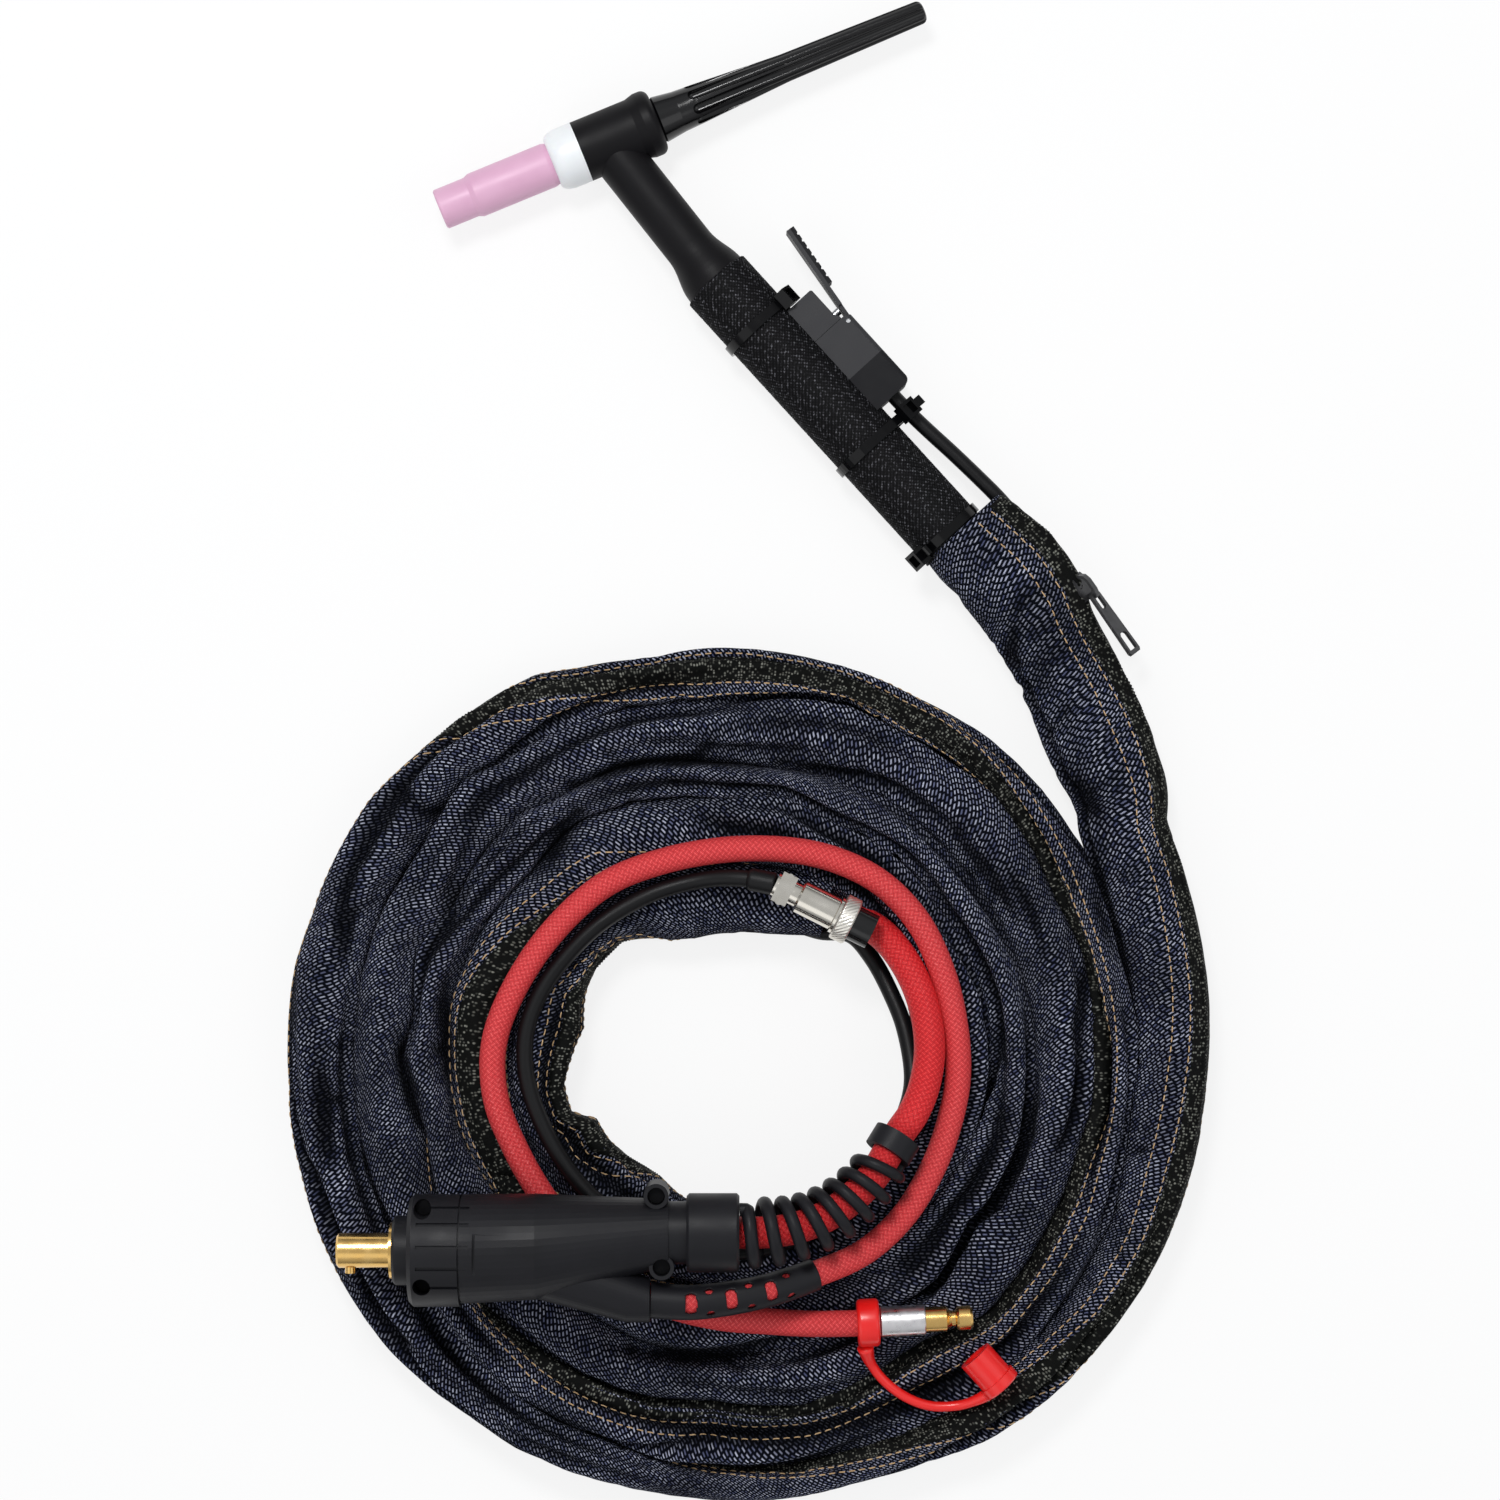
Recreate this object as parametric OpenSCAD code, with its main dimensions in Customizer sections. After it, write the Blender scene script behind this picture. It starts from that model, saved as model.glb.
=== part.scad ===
// TIG welding torch with its sleeved lead coiled beside it.
// The origin is where the tungsten's axis crosses the neck's axis. +X runs along the tungsten
// towards the back cap, +Z is up, and the torch and its coil lie on the plane z = floor_z.

/* [Gas cup and ring] */
// Length of the ceramic gas cup
cup_length = 47; // [42:1:55]
// Outer diameter of the cup behind its narrow tip
cup_d = 17.5; // [17:0.5:20]
// Outer diameter of the cup's narrow tip
cup_tip_d = 15.8; // [14:0.2:16.4]
// Length of the narrow tip
cup_tip_length = 13; // [8:1:16]
// Bore of the cup at its exit
cup_bore = 11; // [9.5:0.5:12]
// Length of the white insulating ring
ring_length = 12; // [9:1:16]

/* [Head and neck] */
// Diameter of the head
head_d = 24; // [23:0.5:28]
// From the neck's axis to the front of the head
head_front = 10.5; // [10:0.5:14]
// From the neck's axis to the rear of the head
head_rear = 21.5; // [20:0.5:26]
// Diameter of the collar round the rear of the head
head_collar_d = 26; // [25:0.5:30]
// Diameter of the brass core inside the head
core_d = 18; // [17:0.5:20]
// Angle between the tungsten's axis and the neck
neck_angle = 74; // [65:1:80]
// Diameter of the neck
neck_d = 19.6; // [18:0.2:21]
// From the tungsten's axis to where the neck starts to flare
neck_length = 52; // [45:1:65]
// Length of the flare
flare_length = 16; // [12:1:20]
// Outer diameter of the copper tube inside the neck
neck_tube_d = 10; // [8:0.5:11]

/* [Collet] */
// Diameter of the tungsten that the collet grips
electrode_d = 2.4; // [1.6:0.1:2.8]
// Outer diameter of the collet
collet_d = 4.2; // [3.8:0.1:4.6]
// Length of the collet
collet_length = 50; // [46:1:52]
// Diameter of the collet body where the ring and the cup sit on it
collet_body_d = 12.4; // [11.8:0.1:13]
// Diameter of the collet body's threaded end
collet_thread_d = 11; // [10:0.1:11.4]

/* [Back cap] */
// Length of the cap behind the head
cap_length = 111.5; // [90:0.5:130]
// Diameter of the cap at the head
cap_base_d = 18.4; // [17:0.2:19]
// Diameter of the cap's grip
cap_grip_d = 15.4; // [14.4:0.2:16]
// Diameter of the cap where its long taper starts
cap_shaft_d = 11; // [10:0.2:12]
// Diameter of the cap at its tip
cap_tip_d = 9.2; // [8:0.2:10]
// Number of flutes along the cap
cap_flutes = 8; // [6:1:9]
// Diameter of the cap's threaded nose
cap_thread_d = 12.8; // [12:0.1:13.2]
// Section diameter of the cap's seal
seal_section = 1.8; // [1.4:0.1:2]

/* [Handle] */
// Length of the handle from the flare to the sleeve
handle_length = 135.5; // [125:0.5:150]
// How far the handle leans back from the neck
handle_lean = 4; // [0:1:8]
// Outer diameter of the rubber handle tube
handle_d = 26; // [25:0.5:28]
// Thickness of the webbing round the handle
webbing = 1; // [0.8:0.1:1.6]
// Thickness of a cable tie's band
tie_thickness = 1.3; // [1:0.1:1.6]
// Width of a cable tie's band
tie_width = 3.8; // [3.6:0.2:6]

/* [Switch] */
// Width of the switch across the handle
switch_width = 16; // [14:0.5:18]
// From the handle's front end to the switch
switch_place = 28.5; // [26:0.5:34]
// Length of the low front block
switch_front_length = 16; // [14:0.5:17]
// Length of the tall housing behind it
switch_housing_length = 19.5; // [16:0.5:24]
// Length of the rubber boot behind the housing
switch_boot_length = 16; // [12:0.5:18]
// Height of the low front block above the handle's axis
switch_front_height = 24; // [22:0.5:25]
// Height of the housing above the handle's axis
switch_height = 29; // [28:0.5:32]
// Length of the lever from its pin
lever_length = 42; // [36:1:46]
// Angle of the lever away from the handle at rest
lever_rest = 7.5; // [7:0.5:12]
// Thickness of the lever's plate
lever_thickness = 1.6; // [1.2:0.1:2]
// Diameter of the bright plunger under the lever
plunger_d = 3; // [2.4:0.2:4]

/* [Sleeve and coil] */
// Radius of the coil's outermost turn at its centre line
coil_radius = 171; // [165:1:180]
// Distance between the coil's turns
coil_pitch = 22; // [21.8:0.1:24]
// Number of turns
coil_turns = 4.85; // [4.5:0.05:5]
// Width of the sleeve in the coil
coil_width = 21; // [19:0.1:21.2]
// Height of the sleeve in the coil
coil_height = 28; // [24:1:34]
// Extra width of the outermost turn where the free sleeve runs into it
coil_swell = 7; // [0:0.5:10]
// How far the innermost end is tucked in towards the coil's centre
coil_tuck = 6; // [4:0.5:8]
// Rings of the coil's surface in one turn
coil_rings = 24; // [16:1:24]

/* [Leads] */
// Diameter of the braided power cable
power_d = 12; // [11:0.5:12.5]
// Diameter of the braided gas lead
gas_d = 10; // [8:0.5:10.5]
// Diameter of the control lead
control_d = 6.5; // [5:0.5:7]
// Diameter of the switch lead
switch_lead_d = 5.8; // [4.5:0.1:6.2]

/* [Power plug] */
// Diameter of the brass contact pin
pin_d = 13; // [12:0.5:14]
// Length of the contact pin in front of its flange
pin_length = 20; // [18:0.5:26]
// Diameter of the plug's front collar
plug_collar_d = 42; // [40:0.5:45]
// Diameter of the plug's body at its front
plug_front_d = 40.8; // [38:0.2:41]
// Length of the plug's housing without its neck
plug_length = 97; // [90:1:110]
// Number of coils in the bend relief
relief_coils = 7.5; // [6.5:1:9.5]

/* [Control connector] */
// Outer diameter of the coupling nut
nut_d = 18.3; // [17:0.1:19]
// Diameter of the connector's shell
shell_d = 12.8; // [12.4:0.1:13]
// Diameter of the connector's insert
insert_d = 13.4; // [13.2:0.1:14]

/* [Gas end] */
// Diameter of the crimped ferrule
ferrule_d = 11.6; // [11:0.2:13]
// Diameter of the quick-release nipple
nipple_d = 9.2; // [8:0.1:9.6]
// Outer diameter of the dust cap
dust_cap_d = 13.8; // [13:0.1:15]
// Length of the dust cap
dust_cap_length = 16; // [13:0.5:18]

/* [Hidden] */

// Clearances: between turned pieces that fit together, and between pieces that rest together
fit = 0.05;
gap = 0.3;

// Places along the tungsten's axis
ring_front_x = -head_front - ring_length;
cup_tip_x = ring_front_x - cup_length;
collet_seat = 12;
collet_wide_x = ring_front_x - collet_seat;
cup_socket_x = collet_wide_x - 2;
collet_nose = 17.5;
collet_body_x = cup_tip_x + collet_nose;
collet_cone = 3;
collet_x = collet_body_x + collet_cone + 1;
collet_rear_x = collet_x + collet_length;
collet_thread = 13;
collet_body_rear_x = collet_thread - head_front;
chamber_d = 6.8;
chamber_rear_x = 8.5;
core_rear_x = head_rear - 1.5;
seal_x = head_rear - 2.4;
seal_seat_d = cap_thread_d + 2.5;
seal_groove_d = seal_seat_d - 2 * fit - 2 * seal_section;
cap_tip_x = head_rear + cap_length;

// Places along the back cap behind the head: its shoulder, grip, waist and shaft
cap_shoulder = 9;
cap_grip = 17;
cap_waist = 35;
cap_shaft = 53;
cap_flute_r = 2.1;
cap_flute_start = 16;
cap_flute_end = 2;

// The handle's frame: x along the handle from its front end, y out towards the switch, z up
handle_angle = handle_lean - neck_angle;
handle_start = (neck_length + flare_length) * [cos(neck_angle), -sin(neck_angle)];
wrap_d = handle_d + 2 * webbing;
floor_z = -wrap_d / 2 - tie_thickness - fit;
function on_handle(p) = [
    handle_start[0] + p[0] * cos(handle_angle) - p[1] * sin(handle_angle),
    handle_start[1] + p[0] * sin(handle_angle) + p[1] * cos(handle_angle),
    p[2]];

// The switch, in the handle's frame
housing_x = switch_place + switch_front_length;
boot_x = housing_x + switch_housing_length;
boot_end_x = boot_x + switch_boot_length;
pad_floor = wrap_d / 2 + fit;
barrel_r = 1.9;
lever_pin_r = 0.9;
lever_pin = [housing_x + 2.4, switch_height - 2.4];
lever_width = 12;
barrel_width = 9;
pad_thickness = 1.7;
pad_length = 26;
plunger_x = lever_pin[0] - 5.6;
lead_height = 20.5;

// The sleeve's free stretch, its half widths and its half heights
sleeve_offset = 6.5;
sleeve_start = on_handle([handle_length, sleeve_offset, 0]);
coil_centre = [-89.5, -345.5];
coil_z = floor_z + coil_height / 2;
coil_tail = 22;
sleeve_end = [coil_centre[0] + coil_radius + coil_swell / 2, coil_centre[1] + coil_tail, coil_z];
sleeve_route = [sleeve_start, [80.5, -213, -2.5], [85.5, -235, -3.3], [87.5, -259, -3.3],
    [88.5, -283, -2.8], [88, -304, -1.8], sleeve_end];
sleeve_half_widths = [21, 21, 20.5, 20, 19, 16.5, (coil_width + coil_swell) / 2];
sleeve_half_heights = [13, 12.5, 12, 12, 12.4, 13.4, coil_height / 2];

// The switch lead's route, in the handle's frame
switch_lead_route = [[boot_end_x, lead_height, 0], [84, 20.6, 0], [92, 20.9, 0], [101, 21.6, 0],
    [112, 22.6, 0], [125, 23.5, 0], [handle_length, 24, 0]];

// The plug's frame: x from the pin's tip to the relief, z up
plug_origin = [-253, -353.7, 43.5];
plug_angle = -22.35;
function on_plug(p) = [
    plug_origin[0] + p[0] * cos(plug_angle) - p[1] * sin(plug_angle),
    plug_origin[1] + p[0] * sin(plug_angle) + p[1] * cos(plug_angle),
    plug_origin[2] + p[2]];
pin_flange = 1.2;
nose_x = pin_length + pin_flange;
nose_d = 26;
nose_length = 6.3;
collar_x = nose_x + nose_length;
collar_length = 19.5;
body_x = collar_x + collar_length;
plug_rear_x = collar_x + plug_length;
plug_neck_d = 23.6;
plug_neck_length = 6.8;
relief_x = plug_rear_x + plug_neck_length;
power_exit = 6.6;
branch_exit = [plug_rear_x - 7, -18.8];
branch_d = 16.4;
plug_screw_places = [[collar_x + 5.5, 16.8], [collar_x + 5.5, -11.6],
    [plug_rear_x - 4.5, power_exit + 14.6], [plug_rear_x - 2.5, power_exit - 12]];

// The power relief: its collar, the route of its coils and its end collar
relief_collar_d = 29.6;
relief_collar_length = 19.8;
relief_coil_r = [11.7, 8.6];
relief_bead_r = [2.35, 1.9];
relief_end_d = 18.6;
relief_end_length = 8;
relief_start = on_plug([relief_x + relief_collar_length, power_exit, 0]);
relief_route = [relief_start, [-99, -409.6, 42.9], [-88, -412, 41.6], [-77, -412, 39.6],
    [-66, -409.6, 37.2], [-56, -405.4, 34.4], [-48.2, -400, 31.8]];
relief_span = len(relief_route) - 1;
function relief_at(u) = let (s = u * relief_span, i = min(relief_span - 1, max(0, floor(s))),
    f = s - i, p0 = relief_route[max(0, i - 1)], p1 = relief_route[i], p2 = relief_route[i + 1],
    p3 = relief_route[min(relief_span, i + 2)])
    p1 + f / 2 * (p2 - p0 + f * (2 * p0 - 5 * p1 + 4 * p2 - p3 + f * (3 * (p1 - p2) + p3 - p0)));
relief_last = relief_route[relief_span];
relief_exit_way = unit(relief_last - relief_route[relief_span - 1]);
relief_exit = relief_last + (relief_end_length + 2) * relief_exit_way;
function relief_way(u) = u <= 0 ? [cos(plug_angle), sin(plug_angle), 0]
    : u >= 1 ? relief_exit_way : unit(relief_at(u + 0.01) - relief_at(u - 0.01));

// The leads' routes. The power cable runs from the coil's inner end to the plug's neck, and
// the last points of its route lie on the relief's own route.
coil_end_angle = -360 * coil_turns;
coil_end_dir = [sin(coil_end_angle), -cos(coil_end_angle), 0];
coil_end_side = [cos(coil_end_angle), sin(coil_end_angle), 0];
coil_end = concat(coil_centre, [coil_z])
    + (coil_radius - coil_pitch * coil_turns - coil_tuck) * coil_end_side + coil_tail * coil_end_dir;
power_start = coil_end - coil_end_side + [0, 0, 5];
control_start = coil_end - 5.5 * coil_end_side - [0, 0, 6];
power_route = concat([power_start, [-31, -315.6, 5.5], [-25.8, -321.8, 9.8], [-21, -331, 15],
    [-17.6, -343, 18.6], [-16.8, -356, 19.6], [-19.4, -369, 22], [-25.5, -380, 25.6],
    [-32.8, -388.6, 28.8], relief_exit],
    [for (i = [relief_span:-1:0]) relief_route[i]], [on_plug([relief_x, power_exit, 0])]);
gas_start = on_plug([branch_exit[0], branch_exit[1], 0]);
gas_end = [-83.5, -456.5, 22];
gas_end_angle = -19.5;
function on_gas_end(p) = [
    gas_end[0] + p[0] * cos(gas_end_angle) - p[1] * sin(gas_end_angle),
    gas_end[1] + p[0] * sin(gas_end_angle) + p[1] * cos(gas_end_angle),
    gas_end[2] + p[2]];
tether_length = 8.6;
ferrule_x = tether_length + gap;
ferrule_length = 17.2;
nipple_x = ferrule_x + ferrule_length;
gas_route = [gas_start, [-135, -423.4, 42.6], [-112, -429.5, 38], [-90, -432, 31],
    [-70, -432, 24.5], [-51, -425.4, 20], [-34, -413, 18.2], [-21, -398.6, 17.8],
    [-11.8, -384, 17.8], [-5.6, -366, 17.8], [-2.4, -346, 17.8], [-3.4, -325, 17.8],
    [-10.5, -306, 17.8], [-22.5, -291.4, 17.8], [-38, -280.4, 17.8], [-60, -271, 17.8],
    [-84.5, -265.6, 17.8], [-109, -265.4, 17.8], [-133.4, -274, 17.8], [-155, -288, 17.8],
    [-171, -305, 17.8], [-178.6, -325, 17.8], [-179, -346, 17.8], [-176.4, -366, 17.8],
    [-170.5, -385, 17.8], [-159.5, -404, 17.8], [-147.5, -420, 17.8], [-132, -434, 17.8],
    [-115, -443.4, 18.2], [-99, -450.6, 20.4], gas_end, on_gas_end([ferrule_x, 0, 0])];
connector_origin = [-48.7, -289.7, 24.6];
connector_angle = -48.7;
control_route = [control_start, [-30, -322.5, -6], [-24.6, -336, -2.5], [-23.4, -355, 4],
    [-27.8, -375, 11], [-37, -390, 16.2], [-50, -402.5, 16.2], [-66, -412.5, 16.2],
    [-88, -418, 16.2], [-110, -416.5, 16.2], [-130, -408, 16.2], [-147, -394, 16.2],
    [-159, -374, 16.2], [-165, -353, 16.2], [-166, -331, 16.2], [-162.5, -314.5, 16.2],
    [-154.5, -301, 16.2], [-140, -289, 16.2], [-118.6, -279.2, 16.2], [-96, -275.6, 16.2],
    [-75.5, -277.6, 17.6], [-60.5, -282.6, 22], connector_origin];

// Vector helpers
function unit(v) = v / norm(v);
function across(t) = unit(cross(t, [0, 0, 1]));
function ring(p, t, shape) = let (a = across(t), b = cross(a, t))
    [for (q = shape) p + q[0] * a + q[1] * b];
function way(route, i) = unit(route[min(i + 1, len(route) - 1)] - route[max(i - 1, 0)]);
function oval(w, h, n) = [for (i = [0:n - 1]) let (a = 360 * (i + 0.5) / n) [w * cos(a), h * sin(a)]];

// A closed skin over a row of rings that have the same number of points
module skin(rings) {
    n = len(rings[0]);
    m = len(rings);
    sides = [for (j = [0:m - 2], i = [0:n - 1]) let (a = j * n + i, b = j * n + (i + 1) % n)
        each [[a, b + n, a + n], [a, b, b + n]]];
    caps = [for (i = [1:n - 2]) each [[0, i + 1, i],
        [(m - 1) * n, (m - 1) * n + i, (m - 1) * n + i + 1]]];
    polyhedron(points = [for (r = rings) each r], faces = concat(sides, caps), convexity = 8);
}

// A round tube along a route, with its ends square to the ways given
module cord(route, d, sides, first_way, last_way) {
    last = len(route) - 1;
    skin([for (i = [0:last]) ring(route[i],
        i == 0 ? first_way : i == last ? last_way : way(route, i), oval(d / 2, d / 2, sides))]);
}

module turned(profile) rotate([0, 90, 0]) rotate_extrude($fn = 96) polygon(profile);
module rod(r, x0, x1) translate([x0, 0, 0]) rotate([0, 90, 0]) cylinder(r = r, h = x1 - x0, $fn = 48);
module tube(r_out, r_in, x0, x1) turned([[r_in, x0], [r_out, x0], [r_out, x1], [r_in, x1]]);
module on_neck() rotate([0, 0, -neck_angle]) children();
module handle_frame() translate(concat(handle_start, [0])) rotate([0, 0, handle_angle]) children();
module plug_frame() translate(plug_origin) rotate([0, 0, plug_angle]) children();
module gas_end_frame() translate(gas_end) rotate([0, 0, gas_end_angle]) children();
module connector_frame() translate(connector_origin) rotate([0, 0, connector_angle]) children();

// Points of a quarter round from one angle to another
function arc(c, r, a0, a1, n = 8) = [for (i = [0:n]) let (a = a0 + (a1 - a0) * i / n)
    [c[0] + r * cos(a), c[1] + r * sin(a)]];

module gas_cup() color("#e3b3cf") {
    socket_r = collet_body_d / 2 + fit;
    lip = 0.6;
    taper = 2;
    chamfer = 1.6;
    turned([[cup_bore / 2, cup_tip_x + lip], [cup_bore / 2 + lip, cup_tip_x],
        [cup_tip_d / 2 - lip, cup_tip_x], [cup_tip_d / 2, cup_tip_x + lip],
        [cup_tip_d / 2, cup_tip_x + cup_tip_length],
        [cup_d / 2, cup_tip_x + cup_tip_length + taper],
        [cup_d / 2, ring_front_x - chamfer], [cup_d / 2 - chamfer / 3, ring_front_x],
        [socket_r, ring_front_x], [socket_r, cup_socket_x], [cup_bore / 2, cup_socket_x]]);
}

module insulator_ring() color("#f4f5f6") {
    inner_r = collet_body_d / 2 + fit;
    front_r = cup_d / 2 + 0.3;
    dome = head_d / 2 - front_r;
    turned(concat([[inner_r, -head_front], [inner_r, ring_front_x], [front_r, ring_front_x]],
        [for (a = [80:-10:0]) [front_r + dome * cos(a), ring_front_x + 2 * dome * (1 - sin(a))]],
        [[head_d / 2, -head_front]]));
}

module collet() color("#c98a5c") {
    slot = 0.4;
    slot_length = 18;
    difference() {
        turned([[electrode_d / 2 + fit / 2, collet_x], [collet_d / 2 - 0.6, collet_x],
            [collet_d / 2, collet_x + 1], [collet_d / 2, collet_rear_x],
            [electrode_d / 2 + fit / 2, collet_rear_x]]);
        for (a = [0, 90]) rotate([a, 0, 0]) translate([collet_x - 1, -collet_d, -slot / 2])
            cube([slot_length, 2 * collet_d, slot]);
    }
}

module collet_body() color("#c9a23f") {
    bore_r = collet_d / 2 + fit;
    stem_r = 4;
    rear_bore_r = 2.8;
    tip_r = electrode_d / 2 + 0.15;
    difference() {
        turned([[tip_r, collet_body_x], [stem_r - 1, collet_body_x], [stem_r, collet_body_x + 1],
            [stem_r, collet_wide_x - 2], [collet_body_d / 2, collet_wide_x],
            [collet_body_d / 2, -head_front],
            [collet_thread_d / 2, -head_front], [collet_thread_d / 2, collet_body_rear_x],
            [rear_bore_r, collet_body_rear_x], [rear_bore_r, collet_wide_x], [bore_r, collet_wide_x],
            [bore_r, collet_body_x + collet_cone]]);
        for (a = [45:90:315]) rotate([a, 0, 0]) translate([collet_wide_x - 5, 0, 0])
            cylinder(d = 1.6, h = stem_r + 1, $fn = 24);
    }
}

module head_core() color("#b8913c") {
    thread_r = collet_thread_d / 2 + fit;
    cap_r = cap_thread_d / 2 + fit;
    seat_x = seal_x - seal_section / 2 - fit;
    difference() {
        turned([[thread_r, -head_front], [core_d / 2, -head_front], [core_d / 2, core_rear_x],
            [seal_seat_d / 2, core_rear_x], [seal_seat_d / 2, seat_x], [cap_r, seat_x],
            [cap_r, chamber_rear_x], [chamber_d / 2, chamber_rear_x],
            [chamber_d / 2, collet_body_rear_x], [thread_r, collet_body_rear_x]]);
        on_neck() rod(neck_tube_d / 2 - 2.4, 0, core_d);
    }
}

module head_body() color("#26272a") {
    bell_r = handle_d / 2;
    bell_end = neck_length + flare_length + 2;
    round_r = 3;
    difference() {
        union() {
            turned(concat([[core_d / 2 + fit, -head_front], [head_d / 2, -head_front],
                [head_d / 2, head_rear - 9], [head_collar_d / 2, head_rear - 5.5]],
                arc([head_collar_d / 2 - round_r, head_rear - round_r], round_r, 0, 90),
                [[seal_seat_d / 2 + fit, head_rear], [seal_seat_d / 2 + fit, core_rear_x],
                [core_d / 2 + fit, core_rear_x]]));
            on_neck() turned(concat([[0, core_d / 4], [neck_d / 2, core_d / 4]],
                [for (i = [0:8]) [neck_d / 2 + (bell_r - neck_d / 2) * (1 - cos(22.5 * i)) / 2,
                    neck_length + flare_length * i / 8]],
                [[bell_r, bell_end], [0, bell_end]]));
        }
        rod(core_d / 2 + fit, -head_front - 1, core_rear_x);
        on_neck() rod(neck_tube_d / 2 + fit, 0, bell_end + 1);
        handle_frame() translate([0, -handle_d, -handle_d]) cube([6, 2 * handle_d, 2 * handle_d]);
    }
}

module neck_tube() color("#b8733f") {
    wall = 1.4;
    on_neck() difference() {
        tube(neck_tube_d / 2, neck_tube_d / 2 - wall, core_d / 4, neck_length + flare_length - 2);
        rotate([0, 0, neck_angle]) rod(core_d / 2 + fit, -head_front, head_rear);
    }
}

// A flute runs out in a round scoop at the grip and follows the shaft's taper to the tip
module cap_flute() {
    floor_r = cap_grip_d / 2 - 2.7;
    fall = atan((cap_shaft_d - cap_tip_d) / 2 / (cap_length - cap_shaft));
    translate([head_rear + cap_flute_start, 0, floor_r + cap_flute_r]) rotate([0, 90 + fall, 0]) {
        cylinder(r = cap_flute_r, h = cap_length - cap_flute_start + cap_flute_end, $fn = 32);
        sphere(r = cap_flute_r, $fn = 32);
    }
}

module back_cap() color("#17171a") {
    nose_x = collet_rear_x + gap;
    plunger_r = 2.5;
    shank_r = seal_groove_d / 2 + 1;
    bore_r = 1.6;
    tip_round = 2.4;
    difference() {
        turned(concat([[bore_r, nose_x], [plunger_r, nose_x], [plunger_r, chamber_rear_x],
            [cap_thread_d / 2 - 1, chamber_rear_x], [cap_thread_d / 2, chamber_rear_x + 1],
            [cap_thread_d / 2, seal_x - seal_section / 2 - fit],
            [seal_groove_d / 2, seal_x - seal_section / 2 - fit],
            [seal_groove_d / 2, seal_x + seal_section / 2 + fit],
            [shank_r, seal_x + seal_section / 2 + fit], [shank_r, head_rear],
            [cap_base_d / 2 - 0.6, head_rear], [cap_base_d / 2, head_rear + 0.8],
            [cap_grip_d / 2 + 0.4, head_rear + cap_shoulder], [cap_grip_d / 2, head_rear + cap_grip],
            [(cap_grip_d + cap_shaft_d) / 4, head_rear + cap_waist],
            [cap_shaft_d / 2, head_rear + cap_shaft]],
            arc([cap_tip_d / 2 - tip_round, cap_tip_x - tip_round], tip_round, 0, 90),
            [[0, cap_tip_x], [0, cap_tip_x - 5], [bore_r, cap_tip_x - 6]]));
        for (i = [0:cap_flutes - 1]) rotate([360 * (i + 0.5) / cap_flutes, 0, 0])
            cap_flute();
    }
}

module cap_seal() color("#2a2a2a") rotate([0, 90, 0]) translate([0, 0, seal_x])
    rotate_extrude($fn = 96) translate([seal_groove_d / 2 + seal_section / 2, 0])
        circle(d = seal_section - fit / 2, $fn = 24);

module handle_shell() color("#2b2c2f") handle_frame()
    tube(handle_d / 2, power_d / 2 + 1.2, 0, handle_length);

module cable_ferrule() color("#c6a052") handle_frame()
    tube(power_d / 2 + 1, power_d / 2 - 2, 2, 30);

module inner_cable() color("#8c1f22") handle_frame() rod(power_d / 2, 30, handle_length);

module webbing_wrap() color("#1c1d20") handle_frame()
    tube(wrap_d / 2, handle_d / 2 + fit, 0, handle_length);

// A cable tie's head, with the slot that its band goes through and its cut tail
tie_head_size = [7, 7.6, 4.6];
tie_slot_size = [4.4, 4.8, 2];
tie_tail_size = [tie_width, 5, tie_thickness];
tie_tail_height = 1.2;
module tie_head() {
    difference() {
        translate([-tie_head_size[0] / 2, -tie_head_size[1] / 2, 0]) cube(tie_head_size);
        translate([-tie_slot_size[0] / 2, -tie_slot_size[1] / 2, tie_head_size[2] - tie_slot_size[2]])
            cube(tie_slot_size + [0, 0, 1]);
    }
    translate([-tie_width / 2, tie_head_size[1] / 2 - fit, tie_tail_height]) cube(tie_tail_size);
}

module tie_ring(x, turn) translate([x, 0, 0]) {
    r = wrap_d / 2 + fit;
    tube(r + tie_thickness, r, -tie_width / 2, tie_width / 2);
    rotate([turn, 0, 0]) difference() {
        translate([0, 0, r + tie_thickness - 0.4]) tie_head();
        rod(r + 0.3, -10, 10);
    }
}

tie_turn = 62;
sleeve_tie_gap = 0.8;
module cable_tie_front() color("#1a1b1d") handle_frame() tie_ring(switch_place - 4, -tie_turn);

module cable_tie_sleeve() color("#1a1b1d") handle_frame()
    tie_ring(handle_length - tie_width / 2 - sleeve_tie_gap, tie_turn);

// The rear tie goes round the handle and the switch lead, with its head above the gap between them
rear_tie_x = boot_end_x + 8;
rear_tie_head_y = 15.2;
module tie_loop(grow) hull() {
    rod(wrap_d / 2 + grow, -tie_width / 2, tie_width / 2);
    translate([0, lead_height + 0.4, 0]) rod(switch_lead_d / 2 + grow, -tie_width / 2, tie_width / 2);
}

module cable_tie_rear() color("#1a1b1d") handle_frame() translate([rear_tie_x, 0, 0]) {
    lean = asin((wrap_d - switch_lead_d) / 2 / (lead_height + 0.4));
    difference() {
        tie_loop(tie_thickness + 0.15);
        scale([1.2, 1, 1]) tie_loop(0.15);
    }
    translate([0, rear_tie_head_y, 0]) rotate([-lean, 0, 0])
        translate([0, 0, wrap_d / 2 + tie_thickness + fit - rear_tie_head_y * sin(lean)]) tie_head();
}

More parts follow.
